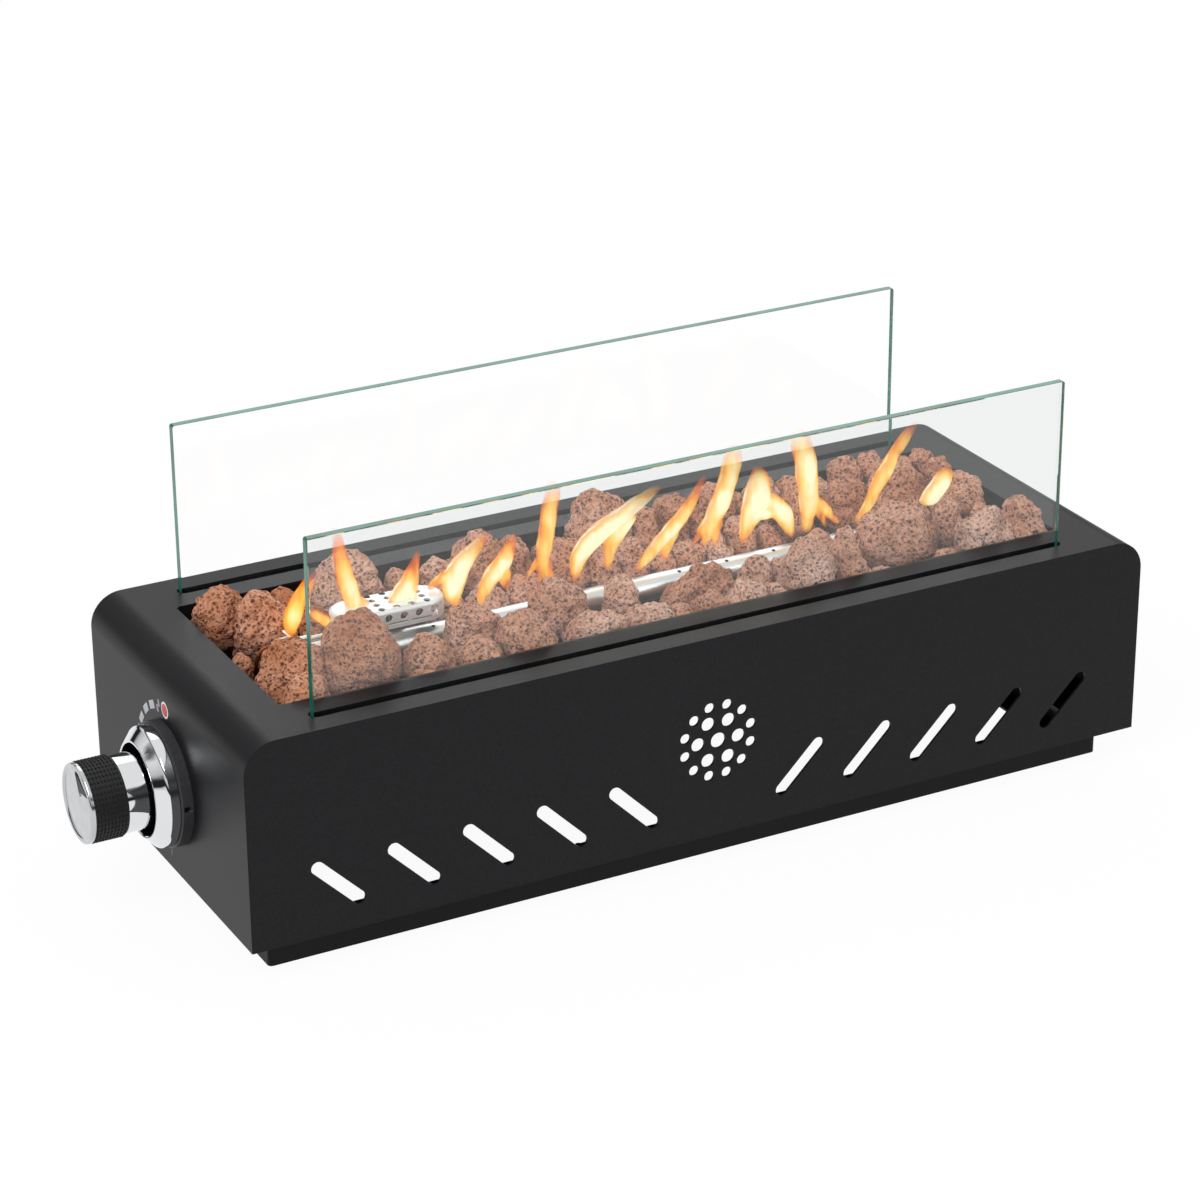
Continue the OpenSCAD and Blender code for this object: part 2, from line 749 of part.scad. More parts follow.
// Upright plate that holds the spark electrode and the thermocouple
module probe_bracket() {
    half = probe_offset + 4;
    color(stainless) placed() difference() {
        union() {
            box([bracket_x, -half, tray_floor], [bracket_x + sheet, half, probe_axis + 5.5]);
            box([bracket_x - 11, -half, tray_floor], [bracket_x + sheet, half, tray_floor + sheet]);
        }
        translate([0, -probe_offset, probe_axis])
            rod_x(bracket_x - overcut, bracket_x + sheet + overcut, insulator_radius + running_fit);
        translate([0, probe_offset, probe_axis])
            rod_x(bracket_x - overcut, bracket_x + sheet + overcut, probe_radius + running_fit);
        translate([bracket_x - 6.5, 0, tray_floor - overcut])
            cylinder(h = sheet + 2 * overcut, r = screw_radius + running_fit);
    }
}

// Ceramic insulator with a wire tip over the first port
module spark_electrode() {
    tip_x = first_port_x - 2;
    placed() translate([0, -probe_offset, probe_axis]) {
        color("#e9e6df") {
            rod_x(bracket_x - insulator_back, bracket_x + 22, insulator_radius);
            rod_x(bracket_x - 3, bracket_x, insulator_radius + 0.9);
        }
        color(stainless) {
            rod_x(bracket_x + 22, tip_x, 1.1);
            translate([tip_x, 0, 0]) rotate([-60, 0, 0]) cylinder(h = 3.4, r = 1.1);
            translate([tip_x, 0, 0]) sphere(1.1, $fn = 24);
        }
    }
}

module thermocouple() {
    placed() translate([0, probe_offset, probe_axis]) {
        color(brass_metal) {
            rod_x(bracket_x - probe_back, bracket_x + 8, probe_radius);
            translate([bracket_x - 4, 0, 0]) rotate([0, 90, 0])
                cylinder(h = 4, r = probe_radius + 1.6, $fn = 6);
        }
        color(stainless) {
            rod_x(bracket_x + 8, first_port_x + 2, 1.6);
            translate([first_port_x + 2, 0, 0]) sphere(1.6, $fn = 24);
        }
    }
}

// Insulated lead from the igniter, up behind the burner's upright, to the electrode
module ignition_lead() {
    start = bracket_x - insulator_back - lead_gap;
    drop = lead_drop_x();
    foot = -end_x + piezo_length + lead_gap;
    color("#8a1f1c") placed() lead([
        [start, -probe_offset, probe_axis], [start - 4, -probe_offset, probe_axis - 1.5],
        [drop, -probe_offset, probe_axis - 8], [drop, -probe_offset, tray_floor],
        [drop, -probe_offset, tray_under - 5], [drop + 9, 2, tray_under - 14],
        [drop + 7, 14, tray_under - 23], [foot + 10, piezo_offset, knob_height + 1],
        [foot, piezo_offset, knob_height]
    ], ignition_lead_radius);
}

// Copper lead from the thermocouple down to the valve's safety magnet
module thermocouple_lead() {
    start = bracket_x - probe_back - lead_gap;
    drop = lead_drop_x();
    foot = -end_x - valve_back + valve_spigot + lead_gap;
    magnet_z = knob_height + magnet_rise;
    color("#b06a3c") placed() lead([
        [start, probe_offset, probe_axis], [start - 5, probe_offset, probe_axis - 1.5],
        [drop, probe_offset, probe_axis - 9], [drop, probe_offset, tray_floor],
        [drop + 1, probe_offset, tray_under - 8], [foot + 5, 3.5, magnet_z + 9],
        [foot + 7, 1, magnet_z + 3], [foot + 3, 0, magnet_z], [foot, 0, magnet_z]
    ], thermocouple_lead_radius);
}

// ---- Gas train

// Brass jet that plugs the foot of the burner's upright
module gas_jet() {
    color(brass_metal) placed() translate([upright_x, 0, upright_bottom]) difference() {
        union() {
            cylinder(h = 5, r = tube_bore - running_fit);
            translate([0, 0, 5]) cylinder(h = 3, r1 = 3.2, r2 = 2);
            translate([0, 0, -7]) cylinder(h = 7, r = tube_radius + 1, $fn = 6);
        }
        translate([0, 0, -7 - overcut]) cylinder(h = 12 + overcut, r = pipe_radius - 1);
        translate([0, 0, 4]) cylinder(h = 6, r = 0.5, $fn = 24);
    }
}

// Bent pipe from the valve's outlet up to the jet
module gas_pipe() {
    axis_z = knob_height - outlet_drop;
    start = -end_x - valve_back + valve_spigot;
    rise = upright_bottom - 7 - axis_z - pipe_bend;
    color("#c8c8c4") placed() translate([0, 0, axis_z]) {
        translate([start, 0, 0]) rotate([90, 0, 90])
            linear_extrude(upright_x - pipe_bend - start) pipe_outline();
        translate([upright_x - pipe_bend, 0, pipe_bend]) rotate([90, 0, 0])
            rotate([0, 0, -90]) rotate_extrude(angle = 90) translate([pipe_bend, 0]) pipe_outline();
        translate([upright_x, 0, pipe_bend]) linear_extrude(rise) pipe_outline();
    }
}

module pipe_outline() {
    difference() {
        circle(pipe_radius);
        circle(pipe_radius - 1);
    }
}

function bonnet_radius() = stem_radius + 3;
function valve_screw_offset() = 19;

// Cast valve body: flange on the wall, bonnet through it, gas ways behind
module gas_valve() {
    body_half = 11;
    body_low = -outlet_drop - 6;
    body_high = magnet_rise + 6;
    body_start = -sheet - valve_flange;
    color("#b9bab8") knob_axis() difference() {
        union() {
            translate([0, 0, body_start]) linear_extrude(valve_flange)
                rounded_outline(2 * valve_screw_offset() + 12, 2 * body_half, 5);
            translate([0, 0, -sheet - overcut])
                cylinder(h = sheet + overcut + 3, r = bonnet_radius());
            translate([(body_low + body_high) / 2, 0, valve_back])
                linear_extrude(body_start - valve_back + overcut)
                    rounded_outline(body_high - body_low, 2 * body_half, 6);
            // Outlet for the gas pipe, and the safety magnet above it
            translate([-outlet_drop, 0, valve_back - valve_spigot])
                cylinder(h = valve_spigot, r = pipe_radius + 2);
            translate([magnet_rise, 0, valve_back - valve_spigot])
                cylinder(h = valve_spigot, r = 5.5, $fn = 6);
            // Inlet boss underneath
            translate([-inlet_drop, 0, inlet_place]) rotate([0, 90, 0])
                cylinder(h = inlet_drop + body_low + overcut, r = 9);
        }
        translate([0, 0, -stem_socket])
            cylinder(h = stem_socket + 14, r = stem_radius + running_fit);
        for (x = [-1, 1]) translate([x * valve_screw_offset(), 0, -14])
            cylinder(h = 14, r = screw_radius + running_fit);
        translate([-inlet_drop - overcut, 0, inlet_place]) rotate([0, 90, 0])
            cylinder(h = 5 + overcut, r = 5 + running_fit);
        translate([-outlet_drop, 0, valve_back - valve_spigot - overcut])
            cylinder(h = 10, r = pipe_radius - 1);
    }
}

// Brass hose connector under the valve, with its outer thread at real size
module gas_inlet() {
    color(brass_metal) knob_axis() translate([-inlet_drop, 0, inlet_place])
        rotate([0, -90, 0]) difference() {
        union() {
            translate([0, 0, -4.5]) cylinder(h = 4.5, r = 5);
            cylinder(h = 6, r = 9.2, $fn = 6);
            translate([0, 0, 6]) cylinder(h = 12, r = inlet_radius);
        }
        translate([0, 0, -4.5 - overcut]) cylinder(h = 24, r = 3);
    }
}

// Stem with a flat for the knob's grub screw
module valve_stem() {
    color(zinc_steel) knob_axis() difference() {
        translate([0, 0, -20]) cylinder(h = 20 + barrel_stand_off + hub_depth - 1, r = stem_radius);
        box([-stem_radius - overcut, stem_radius - 1, barrel_stand_off + 2],
            [stem_radius + overcut, stem_radius + overcut, barrel_stand_off + hub_depth + overcut]);
    }
}

// Plate behind the knob that slides with it and pushes the igniter's plunger
module push_plate() {
    color(zinc_steel) knob_axis() {
        translate([0, 0, plate_place]) linear_extrude(plate_thickness) difference() {
            union() {
                circle(9);
                translate([-4, 0]) square([8, piezo_offset]);
                translate([0, piezo_offset]) circle(4);
            }
            circle(stem_radius + running_fit);
        }
        translate([0, piezo_offset, -12]) cylinder(h = 12 + plate_place, r = plunger_radius);
    }
}

// Igniter behind the wall, its nose through the wall
module piezo_igniter() {
    color("#e5e3dc") knob_axis() translate([0, piezo_offset, 0]) difference() {
        union() {
            translate([0, 0, -piezo_length]) cylinder(h = piezo_length - sheet, r = piezo_radius);
            translate([0, 0, -sheet - overcut])
                cylinder(h = sheet + overcut + 3, r = piezo_nose_radius);
        }
        translate([0, 0, -20]) cylinder(h = 30, r = plunger_radius + running_fit);
    }
}

// Flat nut that clamps the igniter to the end wall
module igniter_nut() {
    color(zinc_steel) knob_axis() translate([0, piezo_offset, 0]) difference() {
        cylinder(h = 2.4, r = piezo_nose_radius + 2.2, $fn = 6);
        translate([0, 0, -overcut]) cylinder(h = 5, r = piezo_nose_radius + running_fit);
    }
}

module valve_screws() {
    color(zinc_steel) knob_axis() for (x = [-1, 1])
        translate([x * valve_screw_offset(), 0, 0]) rotate([180, 0, 0]) pan_head_screw(12);
}

module ring_screw_places() {
    for (turn = [45 : 90 : 315]) rotate(turn)
        translate([(ring_radius + ring_bore) / 2, 0]) children();
}

module ring_screws() {
    color(zinc_steel) knob_axis() ring_screw_places()
        translate([0, 0, -sheet])
            pan_head_screw(sheet + ring_height - 2, small_screw_radius);
}

// ---- Knob and its surround

// Black ring on the end wall, with a hole in its side for the bezel's grub screw
module knob_ring() {
    color(black_rubber) knob_axis() difference() {
        rotate_extrude() polygon([
            [ring_bore, 0], [ring_radius, 0], [ring_radius, ring_height - 0.8],
            [ring_radius - 0.8, ring_height], [ring_bore, ring_height]
        ]);
        ring_screw_places() translate([0, 0, -overcut])
            cylinder(h = ring_height - 1 + overcut, r = small_screw_radius + running_fit);
        translate([0, 0, ring_height / 2]) rotate([90, 0, 0])
            cylinder(h = 2 * ring_radius, r = small_screw_radius + running_fit);
    }
}

function spigot_length() = ring_height - 1;

// Chromed bezel: spigot in the ring, straight rim, cone to a round lip
module knob_bezel() {
    rim_top = ring_height + bezel_rim;
    cone_top = rim_top + bezel_cone;
    color(chrome_metal) knob_axis() rotate_extrude() {
        polygon([
            [bezel_mouth, ring_height - spigot_length()],
            [ring_bore - running_fit, ring_height - spigot_length()],
            [ring_bore - running_fit, ring_height], [bezel_radius - 0.5, ring_height],
            [bezel_radius, ring_height + 0.5], [bezel_radius, rim_top - 0.8],
            [bezel_radius - 0.4, rim_top - 0.1], [bezel_radius - 1, rim_top + 0.4],
            [bezel_mouth + 1.4, cone_top - 0.3], [bezel_mouth + 0.9, cone_top],
            [bezel_mouth + 0.4, cone_top], [bezel_mouth, cone_top - 0.4]
        ]);
    }
}

module bezel_grub_screw() {
    seat = ring_bore - running_fit;
    color(zinc_steel) knob_axis() translate([0, 0, ring_height / 2])
        rotate([90, 0, 0]) translate([0, 0, seat]) difference() {
            cylinder(h = 5, r = small_screw_radius);
            translate([0, 0, 3]) cylinder(h = 3, r = 0.8, $fn = 6);
        }
}

// Cast barrel: chromed skirt, a core for the grip, and a hub on the stem
module knob_barrel() {
    start = barrel_stand_off;
    skirt_end = start + barrel_length;
    core_end = skirt_end + grip_length;
    hub_end = start + hub_depth;
    pocket_end = hub_end - 3;
    color(chrome_metal) knob_axis() difference() {
        rotate_extrude() polygon([
            [0, start], [9, start], [9, pocket_end], [core_radius - 3, pocket_end],
            [core_radius - 3, start + 0.6], [core_radius - 2.4, start], [barrel_radius - 1.4, start],
            [barrel_radius - 0.5, start + 0.5], [barrel_radius, start + 1.4],
            [barrel_radius, skirt_end - 0.4], [barrel_radius - 0.4, skirt_end],
            [core_radius, skirt_end], [core_radius, core_end], [0, core_end]
        ]);
        translate([0, 0, start - overcut])
            cylinder(h = hub_depth + overcut, r = stem_radius + running_fit);
        translate([0, 0, start + 8]) rotate([-90, 0, 0])
            cylinder(h = 2 * barrel_radius, r = small_screw_radius + running_fit);
    }
}

module knob_grub_screw() {
    seat = stem_radius - 1;
    color(zinc_steel) knob_axis() translate([0, 0, barrel_stand_off + 8]) rotate([-90, 0, 0])
        translate([0, 0, seat]) difference() {
            cylinder(h = 5.5, r = small_screw_radius);
            translate([0, 0, 3.5]) cylinder(h = 3, r = 0.8, $fn = 6);
        }
}

// Fluted rubber grip over the barrel's core
module knob_grip() {
    start = barrel_stand_off + barrel_length;
    flute_radius = PI * grip_radius / grip_flutes * 0.42;
    color(black_rubber) knob_axis() translate([0, 0, start]) difference() {
        linear_extrude(grip_length) difference() {
            circle(grip_radius);
            circle(core_radius + running_fit);
            for (i = [0 : grip_flutes - 1]) rotate(360 * i / grip_flutes)
                translate([grip_radius + 0.45 * flute_radius, 0]) circle(flute_radius, $fn = 16);
        }
    }
}

// Chromed cap with a raised rim and a pointer that points up at rest
module knob_cap() {
    start = barrel_stand_off + barrel_length + grip_length;
    cap_radius = grip_radius - 0.3;
    color(chrome_metal) knob_axis() translate([0, 0, start]) {
        rotate_extrude() polygon([
            [0, 0], [cap_radius, 0], [cap_radius, cap_height - 1.1],
            [cap_radius - 0.3, cap_height - 0.4], [cap_radius - 1.1, cap_height],
            [cap_radius - 2, cap_height - 0.1], [cap_radius - 3, cap_height - 0.9],
            [cap_radius / 2, cap_height - 0.6], [0, cap_height - 0.5]
        ]);
        translate([0, 0, cap_height - 1.2]) linear_extrude(1.2)
            polygon([[0.86 * cap_radius, 0], [0.3 * cap_radius, 5.5], [0.38 * cap_radius, 0],
                [0.3 * cap_radius, -5.5]]);
    }
}

// ---- Glass guards

// U-channel under a glass slot
module glass_channel(y) {
    depth = glass_seat + pad_height - sheet;
    half = slot_width / 2;
    color(plinth_black) placed() translate([0, y, 0]) {
        channel_x = slot_length / 2 + 2;
        bottom = sheet_under - depth - channel_sheet;
        difference() {
            box([-channel_x, -half - channel_sheet, bottom],
                [channel_x, half + channel_sheet, sheet_under]);
            box([-channel_x - overcut, -half, bottom + channel_sheet],
                [channel_x + overcut, half, sheet_under + overcut]);
        }
    }
}

module front_channel() {
    glass_channel(-slot_y);
}

module rear_channel() {
    glass_channel(slot_y);
}

// A rubber block at each pad place, from one height to another
module channel_blocks(bottom, height, thickness) {
    color(black_rubber) placed() for (x = [-pad_place, pad_place], y = [-slot_y, slot_y])
        box([x - pad_length / 2, y - slot_width / 2, bottom],
            [x + pad_length / 2, y - slot_width / 2 + thickness, bottom + height]);
}

// Rubber pads that the glass stands on, two in each channel
module glass_pads() {
    channel_blocks(housing_top - glass_seat - pad_height, pad_height, slot_width);
}

// Rubber wedges in front of the glass, two in each channel
module glass_wedges() {
    channel_blocks(housing_top - glass_seat, wedge_height,
        slot_width - glass_back_gap - glass_thickness - glass_clearance);
}

module glass_guard(y) {
    height = glass_rise + glass_seat;
    color(clear_glass) placed() translate([0, 0, housing_top - glass_seat + height / 2])
        upright(y - glass_thickness / 2, glass_thickness)
            rounded_outline(glass_length, height, glass_corner);
}

module front_glass() {
    glass_guard(front_glass_y);
}

module rear_glass() {
    glass_guard(rear_glass_y);
}

// ---- Lava stones
// Rows of stones that stand on the tray's floor. Along X a stone has a centre and a
// width, drawn for a bed 478 mm long, 140 mm wide and 29 mm deep. Across, its cell is a share of the strip between
// the burner tube and the tray's wall, from 0 at the tube to 1 at the wall. Its top is
// given above the housing's top. Negative strips are in front of the burner.

bed_scale = 2 * (tray_x - stone_gap) / 478;
across_scale = 2 * tray_y / 140;
rise_scale = tray_depth / 29;
strip_start = tube_radius + 1.5 + stone_gap;
strip_end = tray_y - stone_gap;
function across(side, share) = side * (strip_start + share * (strip_end - strip_start));

// [centre, width, rise of the top]
front_row = [
    [-148, 30, 12], [-118, 28, 6], [-88, 31, 17], [-47, 31, 6], [-17, 28, 6], [6, 18, -2],
    [25, 18, 1], [47, 26, 2], [66, 10, -1], [87, 30, 21], [111, 17, 22], [203, 34, 17], [229, 18, 21]
];
inner_front_row = [
    [-109, 36, 14], [-57, 38, 17], [-16, 20, 9], [35, 52, 5], [69, 14, 3], [85, 16, -2],
    [112, 20, 9], [197, 17, 11], [222, 24, 4]
];
inner_back_row = [
    [-98, 24, 2], [-74, 20, -2], [-50, 24, -2], [-26, 22, 15], [-3, 22, 4], [16, 15, 7],
    [33, 17, -1], [52, 20, -4], [71, 16, -2], [88, 16, 5], [107, 20, -6], [126, 16, 25],
    [157, 25, 17], [194, 46, 15]
];
back_row = [
    [-183, 17, 8], [-112, 18, 3], [-92, 20, 5], [-65, 32, 18], [-41, 14, 9], [-19, 26, 4],
    [12, 32, 26], [39, 20, 11], [58, 17, 16], [73, 13, 8], [88, 16, 18], [102, 11, 6],
    [119, 22, 14], [138, 14, 9], [156, 20, 4], [175, 17, 17], [192, 16, 15], [212, 20, 10],
    [231, 15, 11]
];

// Shape of one stone: rings of points round an upright middle line, pushed in by turns.
// A level has its share of the height and of the width.
stone_sides = 10;
stone_levels = [[0, 0.72], [0.24, 0.96], [0.52, 1], [0.78, 0.84], [0.93, 0.5]];
stone_squareness = 2.6;
function square_reach(turn) =
    pow(pow(abs(cos(turn)), stone_squareness) + pow(abs(sin(turn)), stone_squareness),
        -1 / stone_squareness);
function stone_point(size, level, k, seed) =
    let (push = rands(0.82, 1, 1, seed * 97 + level * 13 + k)[0],
         turn = 360 * (k + 0.35 * (level % 2)) / stone_sides,
         reach = stone_levels[level][1] * push * square_reach(turn),
         wobble = level == 0 ? 1 : rands(0.94, 1.04, 1, seed * 31 + level * 7 + k)[0])
        [size[0] / 2 * reach * cos(turn), size[1] / 2 * reach * sin(turn),
            stone_levels[level][0] * size[2] * wobble];
module stone(size, seed) {
    rings = len(stone_levels);
    lean = rands(-0.12, 0.12, 2, seed);
    points = concat(
        [[0, 0, 0]],
        [for (level = [0 : rings - 1], k = [0 : stone_sides - 1])
            stone_point(size, level, k, seed)],
        [[lean[0] * size[0], lean[1] * size[1], size[2]]]
    );
    top = rings * stone_sides + 1;
    faces = concat(
        [for (k = [0 : stone_sides - 1]) [0, 1 + k, 1 + (k + 1) % stone_sides]],
        [for (level = [0 : rings - 2], k = [0 : stone_sides - 1])
            let (n = (k + 1) % stone_sides, a = 1 + level * stone_sides, b = a + stone_sides)
                each [[a + k, b + k, b + n], [a + k, b + n, a + n]]],
        [for (k = [0 : stone_sides - 1])
            let (a = 1 + (rings - 1) * stone_sides)
                [a + k, top, a + (k + 1) % stone_sides]]
    );
    polyhedron(points, faces);
}

// A stone that fills a cell from x to x and from y to y, and stands on the tray
module stone_in_cell(centre, width, y_low, y_high, rise, seed) {
    height = tray_depth + sheet + rise * rise_scale;
    size = [width * bed_scale - stone_gap, y_high - y_low - stone_gap, height];
    translate([centre * bed_scale, (y_low + y_high) / 2, tray_floor]) stone(size, seed);
}

module stone_row(row, side, from, to, seed) {
    color(lava) placed() for (i = [0 : len(row) - 1]) {
        near = across(side, from);
        far = across(side, to);
        stone_in_cell(row[i][0], row[i][1], min(near, far), max(near, far), row[i][2], seed + i);
    }
}

module stones_front() {
    stone_row(front_row, -1, 0.47, 1, 100);
    // Three low stones in front of the largest one
    color(lava) placed() for (i = [0 : 2])
        stone_in_cell([130, 151, 174][i], [19, 21, 22][i], across(-1, 1), across(-1, 0.73),
            [-3, -5, -2][i], 160 + i);
}

module stones_inner_front() {
    stone_row(inner_front_row, -1, 0.05, 0.46, 200);
}

module stones_inner_back() {
    stone_row(inner_back_row, 1, 0, 0.48, 300);
}

module stones_back() {
    stone_row(back_row, 1, 0.5, 1, 400);
}

// Large stones with cells of their own: [centre, width, rise, side, from, to]
large_stones = [
    [-222, 31, 14, 1, 0.52, 1], [-207, 31, 21, 1, 0.05, 0.5], [-221, 34, 10, -1, 0.63, 1],
    [-222, 32, 14, -1, 0.05, 0.6], [-184, 38, 34, -1, 0.16, 0.9], [-147, 41, 24, 1, 0.4, 1],
    [-178, 18, 8, 1, 0.08, 0.46], [158, 53, 19, -1, 0.05, 0.7], [228, 20, 11, 1, 0.26, 0.48]
];

// One stone past each end of the burner: [centre, width, front, back, rise]
end_stones = [[220, 34, -10, 16, 14], [-232, 11, -9, 9, 1]];

module stones_large() {
    color(lava) placed() {
        for (i = [0 : len(large_stones) - 1]) {
            entry = large_stones[i];
            near = across(entry[3], entry[4]);
            far = across(entry[3], entry[5]);
            stone_in_cell(entry[0], entry[1], min(near, far), max(near, far), entry[2], 500 + i);
        }
        for (i = [0 : len(end_stones) - 1]) {
            entry = end_stones[i];
            stone_in_cell(entry[0], entry[1], entry[2] * across_scale,
                entry[3] * across_scale, entry[4], 520 + i);
        }
    }
}

// ---- Drawing
housing_wrap();
front_panel();
rear_panel();
plinth_front();
plinth_left();
plinth_right();
plinth_rear();
plinth_rear_short();
foot_pads();
plinth_screws();
burner_tray();
tray_studs();
tray_nuts();
burner_tube();
burner_end_cap();
burner_supports();
pilot_cover();
probe_bracket();
spark_electrode();
thermocouple();
tray_screws();
ignition_lead();
thermocouple_lead();
gas_jet();
gas_pipe();
gas_valve();
gas_inlet();
valve_stem();
push_plate();
piezo_igniter();
igniter_nut();
valve_screws();
ring_screws();
knob_ring();
knob_bezel();
bezel_grub_screw();
knob_barrel();
knob_grip();
knob_cap();
knob_grub_screw();
front_channel();
rear_channel();
glass_pads();
glass_wedges();
front_glass();
rear_glass();
stones_front();
stones_inner_front();
stones_inner_back();
stones_back();
stones_large();
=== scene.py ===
import math
import random

import bpy
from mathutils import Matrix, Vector


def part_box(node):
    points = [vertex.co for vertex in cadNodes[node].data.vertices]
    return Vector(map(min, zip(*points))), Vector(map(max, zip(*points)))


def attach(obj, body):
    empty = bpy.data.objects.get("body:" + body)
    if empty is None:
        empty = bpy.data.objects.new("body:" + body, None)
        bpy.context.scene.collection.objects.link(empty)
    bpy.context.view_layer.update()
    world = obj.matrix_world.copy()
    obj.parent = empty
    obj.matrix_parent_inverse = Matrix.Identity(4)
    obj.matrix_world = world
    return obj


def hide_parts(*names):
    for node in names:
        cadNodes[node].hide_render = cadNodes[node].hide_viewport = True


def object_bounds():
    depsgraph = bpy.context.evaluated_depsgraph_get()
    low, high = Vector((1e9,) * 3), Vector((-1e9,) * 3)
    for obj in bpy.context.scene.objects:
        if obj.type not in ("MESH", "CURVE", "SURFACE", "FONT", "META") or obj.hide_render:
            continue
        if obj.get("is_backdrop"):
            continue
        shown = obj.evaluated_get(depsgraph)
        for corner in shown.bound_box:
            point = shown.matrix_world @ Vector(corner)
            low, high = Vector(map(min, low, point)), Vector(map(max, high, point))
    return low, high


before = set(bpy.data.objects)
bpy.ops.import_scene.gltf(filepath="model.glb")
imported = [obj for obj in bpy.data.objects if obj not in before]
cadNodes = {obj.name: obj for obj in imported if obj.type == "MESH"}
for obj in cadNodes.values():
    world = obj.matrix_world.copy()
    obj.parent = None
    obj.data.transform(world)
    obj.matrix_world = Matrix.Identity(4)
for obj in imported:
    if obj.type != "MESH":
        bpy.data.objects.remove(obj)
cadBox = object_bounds()


# Small helpers

def mm(value):
    return value / 1000


# sRGB hex to the linear colour that a socket takes
def hexColor(text, alpha=1.0):
    parts = [int(text[i:i + 2], 16) / 255 for i in (1, 3, 5)]
    linear = [p / 12.92 if p <= 0.04045 else ((p + 0.055) / 1.055) ** 2.4 for p in parts]
    return (*linear, alpha)


def addNode(tree, kind, settings=None, links=None):
    node = tree.nodes.new(kind)
    for key, value in (settings or {}).items():
        if key == "stops":
            points = node.color_ramp.elements
            while len(points) < len(value):
                points.new(0.5)
            for point, (place, tone) in zip(points, value):
                point.position = place
                point.color = hexColor(tone) if isinstance(tone, str) else (tone, tone, tone, 1)
        elif isinstance(key, int) or key in node.inputs:
            node.inputs[key].default_value = value
        else:
            setattr(node, key, value)
    for key, socket in (links or {}).items():
        tree.links.new(socket, node.inputs[key])
    return node


def startMaterial(name, **sockets):
    material = bpy.data.materials.new(name)
    material.use_nodes = True
    tree = material.node_tree
    tree.nodes.clear()
    out = tree.nodes.new("ShaderNodeOutputMaterial")
    shader = addNode(tree, "ShaderNodeBsdfPrincipled", sockets)
    tree.links.new(shader.outputs["BSDF"], out.inputs["Surface"])
    place = tree.nodes.new("ShaderNodeTexCoord")
    return material, tree, shader, place.outputs["Object"]


# Ends the material in this shader instead of the one it started with
def surfaceFrom(tree, shader):
    out = next(n for n in tree.nodes if n.type == "OUTPUT_MATERIAL")
    tree.links.new(shader.outputs[0], out.inputs["Surface"])


def deselectAll():
    bpy.ops.object.select_all(action="DESELECT")


def makeActive(obj):
    deselectAll()
    obj.select_set(True)
    bpy.context.view_layer.objects.active = obj


# Opens edit mode with everything selected, or only the faces that pick(face) says
def editMode(obj, pick=None):
    makeActive(obj)
    bpy.ops.object.mode_set(mode="EDIT")
    bpy.ops.mesh.select_mode(type="FACE" if pick else "VERT")
    bpy.ops.mesh.select_all(action="DESELECT" if pick else "SELECT")
    if pick:
        bpy.ops.object.mode_set(mode="OBJECT")
        for face in obj.data.polygons:
            face.select = pick(face)
        bpy.ops.object.mode_set(mode="EDIT")


def objectMode():
    bpy.ops.object.mode_set(mode="OBJECT")


def applyModifier(obj, kind, **settings):
    modifier = obj.modifiers.new(kind, kind)
    for key, value in settings.items():
        setattr(modifier, key, value)
    makeActive(obj)
    bpy.ops.object.modifier_apply(modifier=modifier.name)


def settle(obj):
    makeActive(obj)
    bpy.ops.object.transform_apply(location=True, rotation=True, scale=True)


def paint(obj, *materials):
    obj.data.materials.clear()
    for material in materials:
        obj.data.materials.append(material)


def smooth(obj, degrees=35):
    makeActive(obj)
    bpy.ops.object.shade_smooth_by_angle(angle=math.radians(degrees))


def joinPieces(pieces, name):
    deselectAll()
    for piece in pieces:
        piece.select_set(True)
    bpy.context.view_layer.objects.active = pieces[0]
    if len(pieces) > 1:
        bpy.ops.object.join()
    joined = bpy.context.object
    joined.name = name
    return joined


# Angles in degrees
cadCopy = dict(weld=0.000003, flatAngle=0.3, sharpAngle=40, segments=2, normalWeight=80)


# A merged copy of a CAD node, with its sharp edges broken, that stands for the node
def copyNode(node, name, bevel=0.0, body="housing", smoothAngle=35):
    obj = bpy.data.objects.new(name, cadNodes[node].data.copy())
    bpy.context.scene.collection.objects.link(obj)
    editMode(obj)
    bpy.ops.mesh.remove_doubles(threshold=cadCopy["weld"])
    bpy.ops.mesh.dissolve_limited(angle_limit=math.radians(cadCopy["flatAngle"]))
    objectMode()
    if bevel:
        applyModifier(obj, "BEVEL", width=bevel, segments=cadCopy["segments"],
                      limit_method="ANGLE", angle_limit=math.radians(cadCopy["sharpAngle"]),
                      miter_outer="MITER_ARC")
    smooth(obj, smoothAngle)
    # Large flat faces keep their own direction, so light doesn't bend across them
    applyModifier(obj, "WEIGHTED_NORMAL", keep_sharp=True, weight=cadCopy["normalWeight"])
    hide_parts(node)
    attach(obj, body)
    return obj


# Camera, as the photograph was taken

cameraSet = dict(place=(-0.8699, -1.6588, 0.9642), turn=(65.836, 0.363, -28.126), lens=111.23,
                 sensor=36, farEnd=20)

bpy.ops.object.camera_add(location=cameraSet["place"],
                          rotation=[math.radians(a) for a in cameraSet["turn"]])
camera = bpy.context.object
camera.data.lens = cameraSet["lens"]
camera.data.sensor_width = cameraSet["sensor"]
camera.data.clip_end = cameraSet["farEnd"]
bpy.context.scene.camera = camera
bpy.context.scene.view_settings.view_transform = "Standard"
print("camera placed")


# Floor, world and lights

